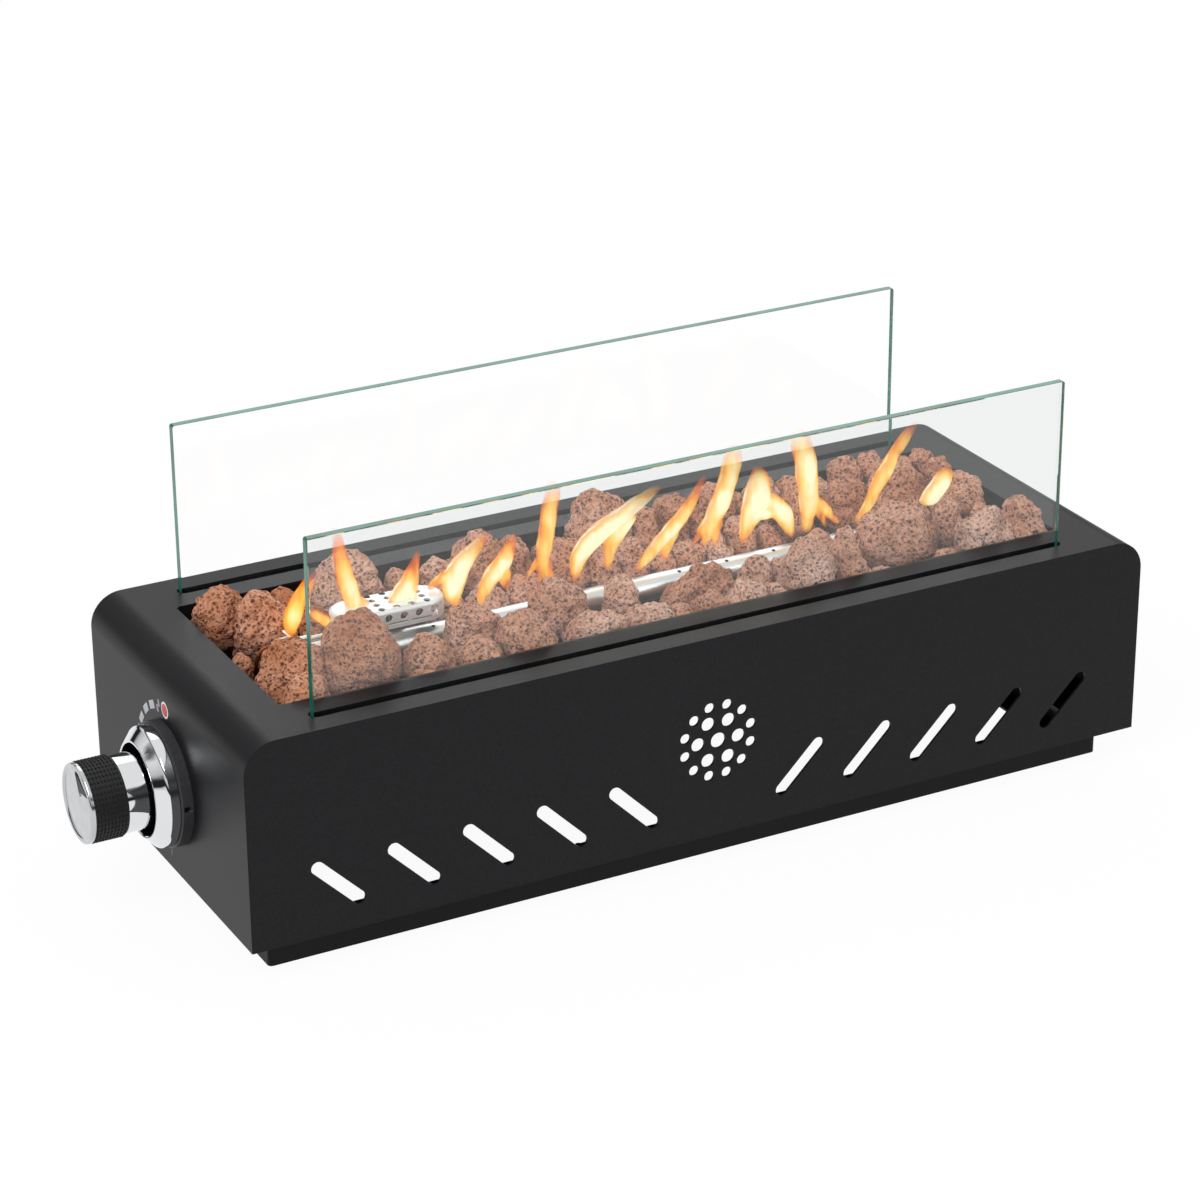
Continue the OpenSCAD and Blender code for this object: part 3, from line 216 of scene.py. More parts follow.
# Each softbox: name, place, size in metres and power in watts
studio = dict(floorSize=7.0, floorPaper="#f2f2f1", fromFloor=0.95, roomLight=0.66,
              aim=(0, 0, 0.1),
              softboxes=(("keySoftbox", (-1.7, -1.0, 2.3), 1.4, 44),
                         ("fillSoftbox", (1.6, -2.0, 1.6), 1.6, 15),
                         ("backSoftbox", (0.9, 1.7, 1.6), 1.8, 12)),
              roomBands=((0.0, 0.8), (0.04, 0.02), (0.16, 0.02), (0.24, 0.6), (0.4, 0.9),
                         (0.44, 0.12), (0.52, 0.12), (0.6, 0.95)))


# 1 for the rays of these kinds, and 0 for the rest
def anyOfRays(tree, *kinds):
    path = tree.nodes.new("ShaderNodeLightPath")
    socket = path.outputs[kinds[0]]
    for kind in kinds[1:]:
        larger = addNode(tree, "ShaderNodeMath", {"operation": "MAXIMUM"},
                         {0: socket, 1: path.outputs[kind]})
        socket = larger.outputs[0]
    return socket


def buildStudio():
    bpy.ops.mesh.primitive_plane_add(size=studio["floorSize"], location=(0, 0, 0))
    floor = bpy.context.object
    floor.name = "floorPaper"
    material, tree, shader, place = startMaterial("whitePaperSweep", Roughness=0.9)
    shader.inputs["Base Color"].default_value = hexColor(studio["floorPaper"])
    shader.inputs["Specular IOR Level"].default_value = 0.1
    # The camera, mirrors and glass see the paper nearly white; the rest of the light is real,
    # so the object's shadow stays
    seen = anyOfRays(tree, "Is Camera Ray", "Is Glossy Ray", "Is Transmission Ray")
    share = addNode(tree, "ShaderNodeMath", {"operation": "MULTIPLY", 1: studio["fromFloor"]},
                    {0: seen})
    white = addNode(tree, "ShaderNodeEmission", {"Color": (1, 1, 1, 1), "Strength": 1.0})
    mixed = addNode(tree, "ShaderNodeMixShader", links={
        "Fac": share.outputs[0], 1: shader.outputs["BSDF"], 2: white.outputs["Emission"]})
    surfaceFrom(tree, mixed)
    paint(floor, material)
    floor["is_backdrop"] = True

    world = bpy.data.worlds.new("paleRoom")
    bpy.context.scene.world = world
    world.use_nodes = True
    tree = world.node_tree
    tree.nodes.clear()
    out = tree.nodes.new("ShaderNodeOutputWorld")
    soft = addNode(tree, "ShaderNodeBackground", {"Color": (1, 1, 1, 1),
                                                  "Strength": studio["roomLight"]})
    plain = addNode(tree, "ShaderNodeBackground", {"Color": (1, 1, 1, 1), "Strength": 1.0})
    # Mirrors see a room: pale, with a dark band just above the horizon and one higher up
    direction = tree.nodes.new("ShaderNodeTexCoord")
    up = addNode(tree, "ShaderNodeSeparateXYZ", links={0: direction.outputs["Generated"]})
    bands = addNode(tree, "ShaderNodeValToRGB", {"stops": studio["roomBands"]},
                    {"Fac": up.outputs["Z"]})
    mirrored = addNode(tree, "ShaderNodeBackground", links={"Color": bands.outputs["Color"]})
    inMirror = addNode(tree, "ShaderNodeMixShader", links={
        "Fac": anyOfRays(tree, "Is Glossy Ray"), 1: soft.outputs["Background"],
        2: mirrored.outputs["Background"]})
    mixed = addNode(tree, "ShaderNodeMixShader", links={
        "Fac": anyOfRays(tree, "Is Camera Ray", "Is Transmission Ray"),
        1: inMirror.outputs["Shader"], 2: plain.outputs["Background"]})
    tree.links.new(mixed.outputs["Shader"], out.inputs["Surface"])

    aim = Vector(studio["aim"])
    for name, place, size, power in studio["softboxes"]:
        bpy.ops.object.light_add(type="AREA", location=place)
        lamp = bpy.context.object
        lamp.name = name
        lamp.data.shape = "SQUARE"
        lamp.data.size = size
        lamp.data.energy = power
        lamp.rotation_euler = (aim - Vector(place)).to_track_quat("-Z", "Y").to_euler()


buildStudio()
print("studio ready")


# Finishes

# Satin powder coat on sheet steel: dark, with a fine orange peel that breaks up the light
def powderCoat(name, colour, roughness, grain=1.3, depth=0.05):
    material, tree, shader, place = startMaterial(name, Roughness=roughness)
    shader.inputs["Specular IOR Level"].default_value = 0.15
    # Real grain is near 0.4 mm; it is drawn coarser, so that it shows
    peel = addNode(tree, "ShaderNodeTexNoise", {"Scale": 1000 / grain, "Detail": 3.0,
                                                "Roughness": 0.6}, {"Vector": place})
    tint = addNode(tree, "ShaderNodeValToRGB", {"stops": colour}, {"Fac": peel.outputs["Fac"]})
    tree.links.new(tint.outputs["Color"], shader.inputs["Base Color"])
    bump = addNode(tree, "ShaderNodeBump", {"Strength": 0.5, "Distance": mm(depth)},
                   {"Height": peel.outputs["Fac"]})
    tree.links.new(bump.outputs["Normal"], shader.inputs["Normal"])
    return material


# Plated or polished metal; with a streak, the fine lines that a belt or a lathe leaves. A
# metallic share under 1 is for metal that heat has dulled
def polishedMetal(name, colour, roughness, streak=0.0, along=(1, 1, 1), darker=None,
                  metallic=1.0):
    material, tree, shader, place = startMaterial(name, Metallic=metallic, Roughness=roughness)
    shader.inputs["Base Color"].default_value = hexColor(colour)
    if streak:
        stretched = addNode(tree, "ShaderNodeMapping", {"Scale": along}, {"Vector": place})
        lines = addNode(tree, "ShaderNodeTexNoise", {"Scale": 1000 / streak, "Detail": 4.0},
                        {"Vector": stretched.outputs["Vector"]})
        tint = addNode(tree, "ShaderNodeValToRGB", {"stops": ((0.3, darker), (0.7, colour))},
                       {"Fac": lines.outputs["Fac"]})
        tree.links.new(tint.outputs["Color"], shader.inputs["Base Color"])
        rough = addNode(tree, "ShaderNodeMapRange", {"To Min": roughness * 0.7,
                                                     "To Max": roughness * 1.5},
                        {"Value": lines.outputs["Fac"]})
        tree.links.new(rough.outputs["Result"], shader.inputs["Roughness"])
    return material


# Moulded plastic, rubber or fired ceramic, with the faint unevenness of its mould
def plainMoulded(name, colour, roughness, grain=1.2, depth=0.01, specular=0.4):
    material, tree, shader, place = startMaterial(name, Roughness=roughness)
    shader.inputs["Specular IOR Level"].default_value = specular
    grainy = addNode(tree, "ShaderNodeTexNoise", {"Scale": 1000 / grain, "Detail": 2.0},
                     {"Vector": place})
    tint = addNode(tree, "ShaderNodeValToRGB", {"stops": ((0.3, colour[0]), (0.7, colour[1]))},
                   {"Fac": grainy.outputs["Fac"]})
    tree.links.new(tint.outputs["Color"], shader.inputs["Base Color"])
    bump = addNode(tree, "ShaderNodeBump", {"Strength": 0.4, "Distance": mm(depth)},
                   {"Height": grainy.outputs["Fac"]})
    tree.links.new(bump.outputs["Normal"], shader.inputs["Normal"])
    return material


# Sizes in mm: clouds of colour, grit, open bubbles, pores and the depth of the relief
rock = dict(cloud=22, grit=1.7, bubble=4.6, pore=2.0, relief=1.3)


# Porous lava rock: reddish brown, with open gas bubbles painted dark as specks of painted shade
def lavaRock(name):
    material, tree, shader, place = startMaterial(name, Roughness=0.92)
    shader.inputs["Specular IOR Level"].default_value = 0.15
    tintOfStone = addNode(tree, "ShaderNodeAttribute", {"attribute_name": "stoneTint"})
    cloud = addNode(tree, "ShaderNodeTexNoise", {"Scale": 1000 / rock["cloud"], "Detail": 6.0,
                                                 "Roughness": 0.62}, {"Vector": place})
    mixedTint = addNode(tree, "ShaderNodeMath", {"operation": "MULTIPLY_ADD", 1: 0.7},
                        {0: cloud.outputs["Fac"], 2: tintOfStone.outputs["Fac"]})
    body = addNode(tree, "ShaderNodeValToRGB", {"stops": (
        (0.16, "#b3754f"), (0.4, "#d79f84"), (0.62, "#e8c1af"), (0.9, "#f2dad0"))},
        {"Fac": mixedTint.outputs[0]})
    # Grit, light and dark grains side by side
    grit = addNode(tree, "ShaderNodeTexNoise", {"Scale": 1000 / rock["grit"], "Detail": 3.0,
                                                "Roughness": 0.75}, {"Vector": place})
    grains = addNode(tree, "ShaderNodeValToRGB", {"stops": (
        (0.34, "#6b4d40"), (0.44, "#d3b9ad"), (0.53, "#ffffff"))}, {"Fac": grit.outputs["Fac"]})
    # Open bubbles, and the pores between them
    large = addNode(tree, "ShaderNodeTexVoronoi", {"Scale": 1000 / rock["bubble"],
                                                    "Randomness": 1.0}, {"Vector": place})
    small = addNode(tree, "ShaderNodeTexVoronoi", {"Scale": 1000 / rock["pore"],
                                                    "Randomness": 1.0}, {"Vector": place})
    largePit = addNode(tree, "ShaderNodeValToRGB", {"stops": ((0.14, 0.0), (0.32, 1.0))},
                       {"Fac": large.outputs["Distance"]})
    smallPit = addNode(tree, "ShaderNodeValToRGB", {"stops": ((0.14, 0.1), (0.46, 1.0))},
                       {"Fac": small.outputs["Distance"]})
    pits = addNode(tree, "ShaderNodeMath", {"operation": "MULTIPLY"},
                   {0: largePit.outputs["Color"], 1: smallPit.outputs["Color"]})
    # Painted shade: the pit mask darkens the colour inside the bubbles and pores
    shade = addNode(tree, "ShaderNodeValToRGB", {"stops": ((0.0, "#4a2c20"), (0.6, "#ffffff"))},
                    {"Fac": pits.outputs[0]})
    grainy = addNode(tree, "ShaderNodeMix", {"data_type": "RGBA", "blend_type": "MULTIPLY",
                                             0: 0.6},
                     {6: body.outputs["Color"], 7: grains.outputs["Color"]})
    dark = addNode(tree, "ShaderNodeMix", {"data_type": "RGBA", "blend_type": "MULTIPLY", 0: 0.8},
                   {6: grainy.outputs[2], 7: shade.outputs["Color"]})
    # Painted shade: each stone is darker towards its foot, where the stones shadow each other
    riseOfStone = addNode(tree, "ShaderNodeAttribute", {"attribute_name": "stoneRise"})
    footPaintedShade = addNode(tree, "ShaderNodeValToRGB", {"stops": (
        (0.15, "#6f625c"), (0.62, "#ffffff"))}, {"Fac": riseOfStone.outputs["Fac"]})
    shaded = addNode(tree, "ShaderNodeMix", {"data_type": "RGBA", "blend_type": "MULTIPLY", 0: 1.0},
                     {6: dark.outputs[2], 7: footPaintedShade.outputs["Color"]})
    tree.links.new(shaded.outputs[2], shader.inputs["Base Color"])
    height = addNode(tree, "ShaderNodeMath", {"operation": "MULTIPLY_ADD", 1: 0.8},
                     {0: grit.outputs["Fac"], 2: pits.outputs[0]})
    bump = addNode(tree, "ShaderNodeBump", {"Strength": 1.0, "Distance": mm(rock["relief"])},
                   {"Height": height.outputs[0]})
    tree.links.new(bump.outputs["Normal"], shader.inputs["Normal"])
    return material


# Toughened float glass: clear through its faces, with the cast that it gives what is behind it
def clearSheetGlass(name, ior, cast):
    material, tree, shader, place = startMaterial(name, Roughness=0.0, IOR=ior)
    shader.inputs["Transmission Weight"].default_value = 1.0
    shader.inputs["Base Color"].default_value = hexColor(cast)
    # Rays that look for a lamp pass straight through, so the glass casts no dark shadow
    path = tree.nodes.new("ShaderNodeLightPath")
    clear = addNode(tree, "ShaderNodeBsdfTransparent", {"Color": hexColor("#fafcfc")})
    mixed = addNode(tree, "ShaderNodeMixShader", links={
        "Fac": path.outputs["Is Shadow Ray"], 1: shader.outputs["BSDF"], 2: clear.outputs["BSDF"]})
    surfaceFrom(tree, mixed)
    return material


edgeWave = 25  # mm, along which the tone of an edge drifts


# The ground and polished edge, where the depth of the sheet shows as deep sea green
def groundGlassEdge(name):
    material, tree, shader, place = startMaterial(name, Roughness=0.18)
    uneven = addNode(tree, "ShaderNodeTexNoise", {"Scale": 1000 / edgeWave, "Detail": 3.0},
                     {"Vector": place})
    tint = addNode(tree, "ShaderNodeValToRGB", {"stops": (
        (0.35, "#0a5a48"), (0.65, "#2c7565"))}, {"Fac": uneven.outputs["Fac"]})
    tree.links.new(tint.outputs["Color"], shader.inputs["Base Color"])
    return material


# Streaks in mm and their height as a share of 1, how brightly the gas glows, how much it
# cools towards its tip, and how strongly the streaks show
gas = dict(streak=5, squeeze=0.25, glow=1.25, cooling=0.28, contrast=1.0)


# A yellow gas flame: it gives its own light, pale where it is thick and orange at the rim
def burningGas(name):
    material, tree, shader, place = startMaterial(name, Roughness=1.0)
    shader.inputs["Base Color"].default_value = (0, 0, 0, 1)
    shader.inputs["Specular IOR Level"].default_value = 0.0
    shader.inputs["Emission Strength"].default_value = gas["glow"]
    thick = addNode(tree, "ShaderNodeAttribute", {"attribute_name": "flameThick"})
    rise = addNode(tree, "ShaderNodeAttribute", {"attribute_name": "flameRise"})
    # Streaks four times as long as they are wide
    stretched = addNode(tree, "ShaderNodeMapping", {"Scale": (1, 1, gas["squeeze"])},
                        {"Vector": place})
    lick = addNode(tree, "ShaderNodeTexNoise", {"Scale": 1000 / gas["streak"], "Detail": 3.0},
                   {"Vector": stretched.outputs["Vector"]})
    streaks = addNode(tree, "ShaderNodeMath", {"operation": "MULTIPLY_ADD", 1: gas["contrast"],
                                               2: -gas["contrast"] / 2},
                      {0: lick.outputs["Fac"]})
    wavy = addNode(tree, "ShaderNodeMath", {"operation": "ADD"},
                   {0: streaks.outputs[0], 1: thick.outputs["Fac"]})
    cooler = addNode(tree, "ShaderNodeMath", {"operation": "MULTIPLY_ADD", 1: -gas["cooling"]},
                     {0: rise.outputs["Fac"], 2: wavy.outputs[0]})
    colour = addNode(tree, "ShaderNodeValToRGB", {"stops": (
        (0.0, "#f0661c"), (0.14, "#ff932b"), (0.32, "#ffbd4a"), (0.55, "#ffdc82"),
        (0.85, "#fff6cc"))}, {"Fac": cooler.outputs[0]})
    tree.links.new(colour.outputs["Color"], shader.inputs["Emission Color"])
    body = addNode(tree, "ShaderNodeValToRGB", {"stops": (
        (0.0, 0.0), (0.12, 0.4), (0.32, 0.78), (0.6, 0.94), (1.0, 1.0))},
        {"Fac": wavy.outputs[0]})
    ends = addNode(tree, "ShaderNodeValToRGB", {"stops": (
        (0.0, 0.2), (0.1, 0.85), (0.6, 0.97), (0.82, 0.6), (1.0, 0.0))},
        {"Fac": rise.outputs["Fac"]})
    alpha = addNode(tree, "ShaderNodeMath", {"operation": "MULTIPLY"},
                    {0: body.outputs["Color"], 1: ends.outputs["Color"]})
    tree.links.new(alpha.outputs[0], shader.inputs["Alpha"])
    return material


# Pad-printed enamel ink, slightly raised and uneven at its edge
def printedInk(name, colour):
    return plainMoulded(name, colour, 0.5, grain=2.0, depth=0.005)


finish = {
    "coatedSteel": powderCoat("satinPowderCoat", ((0.3, "#111113"), (0.7, "#19191c")), 0.4),
    "plinthCoat": powderCoat("blackPowderCoat", ((0.3, "#0b0b0c"), (0.7, "#121214")), 0.5),
    "trayCoat": powderCoat("heatProofCoat", ((0.3, "#0e0e0f"), (0.7, "#161618")), 0.6),
    "stainless": polishedMetal("polishedStainless", "#e6e7e8", 0.3, 3.0, (0.08, 1, 1), "#d8dadb"),
    # Heat has dulled the cover, so that it scatters light more than it mirrors
    "dulledStainless": polishedMetal("dulledStainless", "#eeeeed", 0.4, 3.0, (0.08, 1, 1),
                                     "#e2e3e3", 0.55),
    # Painted shade for the insides of the burner tube and the pilot cover
    "insideShade": plainMoulded("sootedStainless", ("#1b1a19", "#2a2826"), 0.7),
    "ringCoat": powderCoat("satinGreyCoat", ((0.3, "#2e2e30"), (0.7, "#3a3a3d")), 0.42),
    "satinChrome": polishedMetal("satinChrome", "#c6c8ca", 0.13, 6.0, (1, 1, 1), "#babcbf"),
    "chrome": polishedMetal("chromePlate", "#dfe1e3", 0.035),
    "zinc": polishedMetal("zincPlatedSteel", "#b9bcc0", 0.34, 4.0, (1, 1, 1), "#a5a8ad"),
    "brass": polishedMetal("turnedBrass", "#c9a44e", 0.24, 2.0, (1, 1, 0.1), "#b08d3c"),
    "copper": polishedMetal("drawnCopper", "#b8714a", 0.3, 3.0, (1, 1, 0.2), "#9c5a38"),
    "aluminium": polishedMetal("castAluminium", "#b4b5b4", 0.5, 1.6, (1, 1, 1), "#9b9c9c"),
    "gripRubber": plainMoulded("mouldedGripRubber", ("#0d0d0e", "#161617"), 0.62),
    "softRubber": plainMoulded("blackRubber", ("#111112", "#1a1a1b"), 0.75),
    # Painted shade: near-black for the bezel's mouth, its grub screw and the pointer's front facet
    "shadeBlack": plainMoulded("blackNylon", ("#101011", "#18181a"), 0.38),
    "ceramic": plainMoulded("glazedCeramic", ("#e9e6dd", "#f2f0ea"), 0.2, specular=0.5),
    "whitePlastic": plainMoulded("whiteNylon", ("#dcdad2", "#e7e5de"), 0.4),
    "leadInsulation": plainMoulded("siliconeInsulation", ("#6f1714", "#8a1f1b"), 0.55),
    "lava": lavaRock("lavaRock"),
    "glass": clearSheetGlass("clearFloatGlass", 1.5, "#eff2f1"),
    # The photograph shows next to no reflection in the rear sheet
    "rearGlass": clearSheetGlass("antiReflectFloatGlass", 1.2, "#ffffff"),
    "glassEdge": groundGlassEdge("greenGlassEdge"),
    "flame": burningGas("burningGas"),
    "inkPale": printedInk("paleGreyInk", ("#a9adb2", "#b9bdc2")),
    "inkRed": printedInk("redInk", ("#b5403c", "#c54c46")),
    "inkWhite": printedInk("whiteInk", ("#cfcfcf", "#dcdcdc")),
    "inkSpark": printedInk("greyPinkInk", ("#8f8287", "#9b8d91")),
    "inkFaint": printedInk("faintInk", ("#5b4a4a", "#6b5555")),
}

plainNodes = {
    "foot_pads": "softRubber", "plinth_screws": "zinc", "tray_studs": "zinc",
    "tray_nuts": "zinc", "burner_supports": "stainless", "tray_screws": "zinc",
    "gas_jet": "brass", "gas_valve": "aluminium", "gas_inlet": "brass",
    "valve_stem": "zinc", "push_plate": "zinc", "piezo_igniter": "whitePlastic",
    "igniter_nut": "zinc", "valve_screws": "zinc", "ring_screws": "zinc",
    # The bezel's grub screw is painted black, painted shade so that its hole reads dark
    "bezel_grub_screw": "shadeBlack", "knob_grub_screw": "zinc", "front_channel": "plinthCoat",
    "rear_channel": "plinthCoat", "glass_pads": "softRubber", "glass_wedges": "softRubber",
    "ignition_lead": "leadInsulation", "thermocouple_lead": "copper",
}
for node, name in plainNodes.items():
    paint(cadNodes[node], finish[name])
print("finishes made:", len(finish))


# Housing, plinth and tray: the CAD sheets with their edges broken

housing = dict(panelEdge=mm(0.8), wrapEdge=mm(0.35), plinthEdge=mm(0.5), trayEdge=mm(0.4))


def buildHousing():
    for node, name, edge, coat in (
            ("front_panel", "frontPanel", housing["panelEdge"], "coatedSteel"),
            ("rear_panel", "rearPanel", housing["panelEdge"], "coatedSteel"),
            ("housing_wrap", "housingWrap", housing["wrapEdge"], "coatedSteel"),
            ("plinth_front", "plinthFront", housing["plinthEdge"], "plinthCoat"),
            ("plinth_left", "plinthLeft", housing["plinthEdge"], "plinthCoat"),
            ("plinth_right", "plinthRight", housing["plinthEdge"], "plinthCoat"),
            ("plinth_rear", "plinthRear", housing["plinthEdge"], "plinthCoat"),
            ("plinth_rear_short", "plinthRearShort", housing["plinthEdge"], "plinthCoat"),
            ("burner_tray", "rockTray", housing["trayEdge"], "trayCoat")):
        paint(copyNode(node, name, edge), finish[coat])


buildHousing()
print("housing dressed")


# Burner, pilot cover and probes

# The insulator is the white part of the electrode that shows past the bracket
burner = dict(edge=mm(0.15), insulator=mm(20.6))


# Painted shade: the faces that look at the middle are painted near black, so the ports and the
# holes read dark
def paintShadeInside(piece, middle):
    piece.data.materials.append(finish["insideShade"])
    for face in piece.data.polygons:
        out = Vector((0, face.center[1] - middle[1], face.center[2] - middle[2]))
        face.material_index = 1 if face.normal.dot(out) < 0 else 0


def buildBurner():
    for node, name, coat in (
            ("burner_tube", "burnerTube", "stainless"),
            ("burner_end_cap", "burnerEndCap", "stainless"),
            ("pilot_cover", "pilotCover", "dulledStainless"),
            ("probe_bracket", "probeBracket", "stainless"),
            ("thermocouple", "thermocoupleProbe", "stainless"),
            ("gas_pipe", "gasPipe", "aluminium")):
        piece = copyNode(node, name, burner["edge"] if node == "probe_bracket" else 0)
        paint(piece, finish[coat])
        low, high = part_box(node)
        if node == "burner_tube":
            paintShadeInside(piece, (low + high) / 2)
        if node == "pilot_cover":
            paintShadeInside(piece, Vector((0, (low[1] + high[1]) / 2, low[2])))
    electrode = copyNode("spark_electrode", "sparkElectrode")
    paint(electrode, finish["ceramic"], finish["stainless"])
    # The thin wire beyond the insulator is steel
    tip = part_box("probe_bracket")[1][0] + burner["insulator"]
    for face in electrode.data.polygons:
        face.material_index = 1 if face.center[0] > tip else 0


buildBurner()
print("burner dressed")


# Knob

knob = dict(ribs=44, rows=9, blockHeight=mm(0.8), blockInset=mm(0.22), gripWall=mm(2.4),
            gripUnderCap=mm(0.5), capEdge=mm(0.3), smoothAngle=28, arrowThickness=mm(0.5),
            arrowSplit=mm(3), mouthSlack=mm(0.05),
            # Corners (y, z, depth behind the rim): tip, foot at the back, notch, foot in front
            arrow=((0, 18.6, 0.55), (7.7, 3, 0.9), (-1.4, 8.9, 0.3), (-15.2, 9.6, 0.9)))


# A point on the knob's axis
def knobAxis():
    low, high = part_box("valve_stem")
    return (low + high) / 2


def buildGrip():
    low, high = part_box("knob_grip")
    middle = (low + high) / 2
    length = high[0] - low[0]
    core = (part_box("knob_cap")[1][2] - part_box("knob_cap")[0][2]) / 2 - knob["gripUnderCap"]
    bpy.ops.mesh.primitive_cylinder_add(vertices=2 * knob["ribs"], radius=core, depth=length,
                                        end_fill_type="NOTHING", location=middle,
                                        rotation=(0, math.pi / 2, 0))
    grip = bpy.context.object
    grip.name = "knurledGrip"
    settle(grip)
    # The long edges are cut into rows
    makeActive(grip)
    bpy.ops.object.mode_set(mode="EDIT")
    bpy.ops.mesh.select_mode(type="EDGE")
    bpy.ops.mesh.select_all(action="DESELECT")
    objectMode()
    for edge in grip.data.edges:
        a, b = (grip.data.vertices[i].co for i in edge.vertices)
        edge.select = abs(a[0] - b[0]) > length / 2
    bpy.ops.object.mode_set(mode="EDIT")
    bpy.ops.mesh.subdivide(number_cuts=2 * knob["rows"])
    objectMode()

    def isBlock(face):
        turn = math.atan2(face.center[2] - middle[2], face.center[1] - middle[1]) / math.tau
        column = int((turn % 1) * 2 * knob["ribs"])
        row = int((face.center[0] - low[0]) / length * (2 * knob["rows"] + 1))
        return column % 2 == 1 and row % 2 == 1

    editMode(grip, isBlock)
    bpy.ops.mesh.inset(thickness=knob["blockInset"], depth=knob["blockHeight"],
                       use_individual=True)
    objectMode()
    applyModifier(grip, "SOLIDIFY", thickness=knob["gripWall"], offset=-1)
    smooth(grip, 30)
    paint(grip, finish["gripRubber"])
    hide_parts("knob_grip")
    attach(grip, "knob")


def buildKnob():
    buildGrip()
    for node, name, coat, edge, body in (
            ("knob_bezel", "chromeBezel", "chrome", 0, "housing"),
            ("knob_barrel", "chromeBarrel", "chrome", 0, "knob"),
            ("knob_cap", "chromeCap", "satinChrome", knob["capEdge"], "knob"),
            ("knob_ring", "baseRing", "ringCoat", 0, "housing")):
        paint(copyNode(node, name, edge, body, knob["smoothAngle"]), finish[coat])


# Moves one vertex, as if by hand
def movePoint(obj, index, place):
    editMode(obj)
    bpy.ops.mesh.select_all(action="DESELECT")
    objectMode()
    obj.data.vertices[index].select = True
    bpy.ops.object.mode_set(mode="EDIT")
    bpy.ops.transform.translate(value=place - obj.data.vertices[index].co)
    objectMode()


# A raised arrow on the cap's face: two facets that meet in a ridge, the front one painted black as
# a painted dark reflection
def buildPointer():
    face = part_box("knob_cap")[0][0]
    axis = knobAxis()
    corners = [Vector((face + mm(x), axis[1] + mm(y), axis[2] + mm(z)))
               for y, z, x in knob["arrow"]]
    bpy.ops.mesh.primitive_circle_add(vertices=len(corners), radius=mm(5), fill_type="NGON",
                                      location=axis, rotation=(0, math.pi / 2, 0))
    arrow = bpy.context.object
    arrow.name = "capPointer"
    settle(arrow)
    for index, corner in enumerate(corners):
        movePoint(arrow, index, corner)
    editMode(arrow)
    bpy.ops.mesh.quads_convert_to_tris(quad_method="FIXED")
    objectMode()
    applyModifier(arrow, "SOLIDIFY", thickness=knob["arrowThickness"], offset=0)
    editMode(arrow)
    bpy.ops.mesh.normals_make_consistent(inside=False)
    objectMode()
    paint(arrow, finish["satinChrome"], finish["shadeBlack"])
    # Painted reflection: the front facet is painted black where the chrome would mirror dark
    for item in arrow.data.polygons:
        item.material_index = 1 if item.center[1] < axis[1] - knob["arrowSplit"] else 0
    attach(arrow, "knob")


# Painted shade: the bezel's faces inside its mouth are painted black, for the shade in the gap
# round the knob
def blackenInside(bezel):
    axis = knobAxis()
    bezel.data.materials.append(finish["shadeBlack"])
    mouth = min(math.hypot(v.co[1] - axis[1], v.co[2] - axis[2]) for v in bezel.data.vertices)
    for face in bezel.data.polygons:
        inward = Vector((0, axis[1] - face.center[1], axis[2] - face.center[2]))
        near = inward.length < mouth + knob["mouthSlack"]
        face.material_index = 1 if near and face.normal.dot(inward) > 0 else 0


buildKnob()
buildPointer()
blackenInside(bpy.data.objects["chromeBezel"])
print("knob dressed")


# Dial marks, printed on the end wall

# Each mark: angle from the top, how far outside the dial's radius it lies, length round the
# dial, height across it, and ink. The two sparks are the igniter's mark, a small zigzag
dial = dict(radius=mm(42.4), thickness=mm(0.06), offRing=mm(9.4), offDot=mm(7.2), offSides=48,
            marks=(("dialBlockA", 26.3, 0, 7.4, 4.6, "inkPale"),
                   ("dialBlockB", 41.3, 0, 7.4, 4.6, "inkPale"),
                   ("dialBlockC", 56.8, 0, 7.6, 4.2, "inkPale"),
                   ("dialBlockD", 68.2, 0, 3.0, 3.4, "inkPale"),
                   ("dialMarkLow", 178, 0, 2.2, 4.0, "inkFaint"),
                   ("dialSparkA", 11.0, 1.6, 2.6, 4.0, "inkSpark"),
                   ("dialSparkB", 14.8, -1.6, 2.6, 4.0, "inkSpark")))


# The point on the end wall at an angle from the top of the dial, towards the back
def dialPlace(angle, radius):
    axis = knobAxis()
    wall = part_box("housing_wrap")[0][0]
    turn = math.radians(angle)
    return Vector((wall, axis[1] + radius * math.sin(turn), axis[2] + radius * math.cos(turn)))


# A flat printed mark: an outline that is laid on the wall and given the ink's thickness
def layMark(name, angle, radius, size, vertices, ink, lift=0.0):
    place = dialPlace(angle, radius)
    bpy.ops.mesh.primitive_circle_add(vertices=vertices, radius=0.5, fill_type="NGON")
    mark = bpy.context.object
    mark.name = name
    if vertices == 4:
        bpy.ops.transform.rotate(value=math.radians(45), orient_axis="Z",
                                 center_override=(0, 0, 0))
        settle(mark)
        # A circle of four corners has sides of its radius times the root of 2
        mark.scale = (size[0] * 1.414, size[1] * 1.414, 1)
    else:
        mark.scale = (size[0], size[1], 1)
    settle(mark)
    mark.rotation_euler = (math.pi / 2, 0, -math.pi / 2)
    settle(mark)
    mark.rotation_euler = (-math.radians(angle), 0, 0)
    mark.location = place - Vector((dial["thickness"] / 2 + lift, 0, 0))
    settle(mark)
    applyModifier(mark, "SOLIDIFY", thickness=dial["thickness"], offset=0)
    editMode(mark)
    bpy.ops.mesh.normals_make_consistent(inside=False)
    objectMode()
    paint(mark, finish[ink])
    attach(mark, "housing")


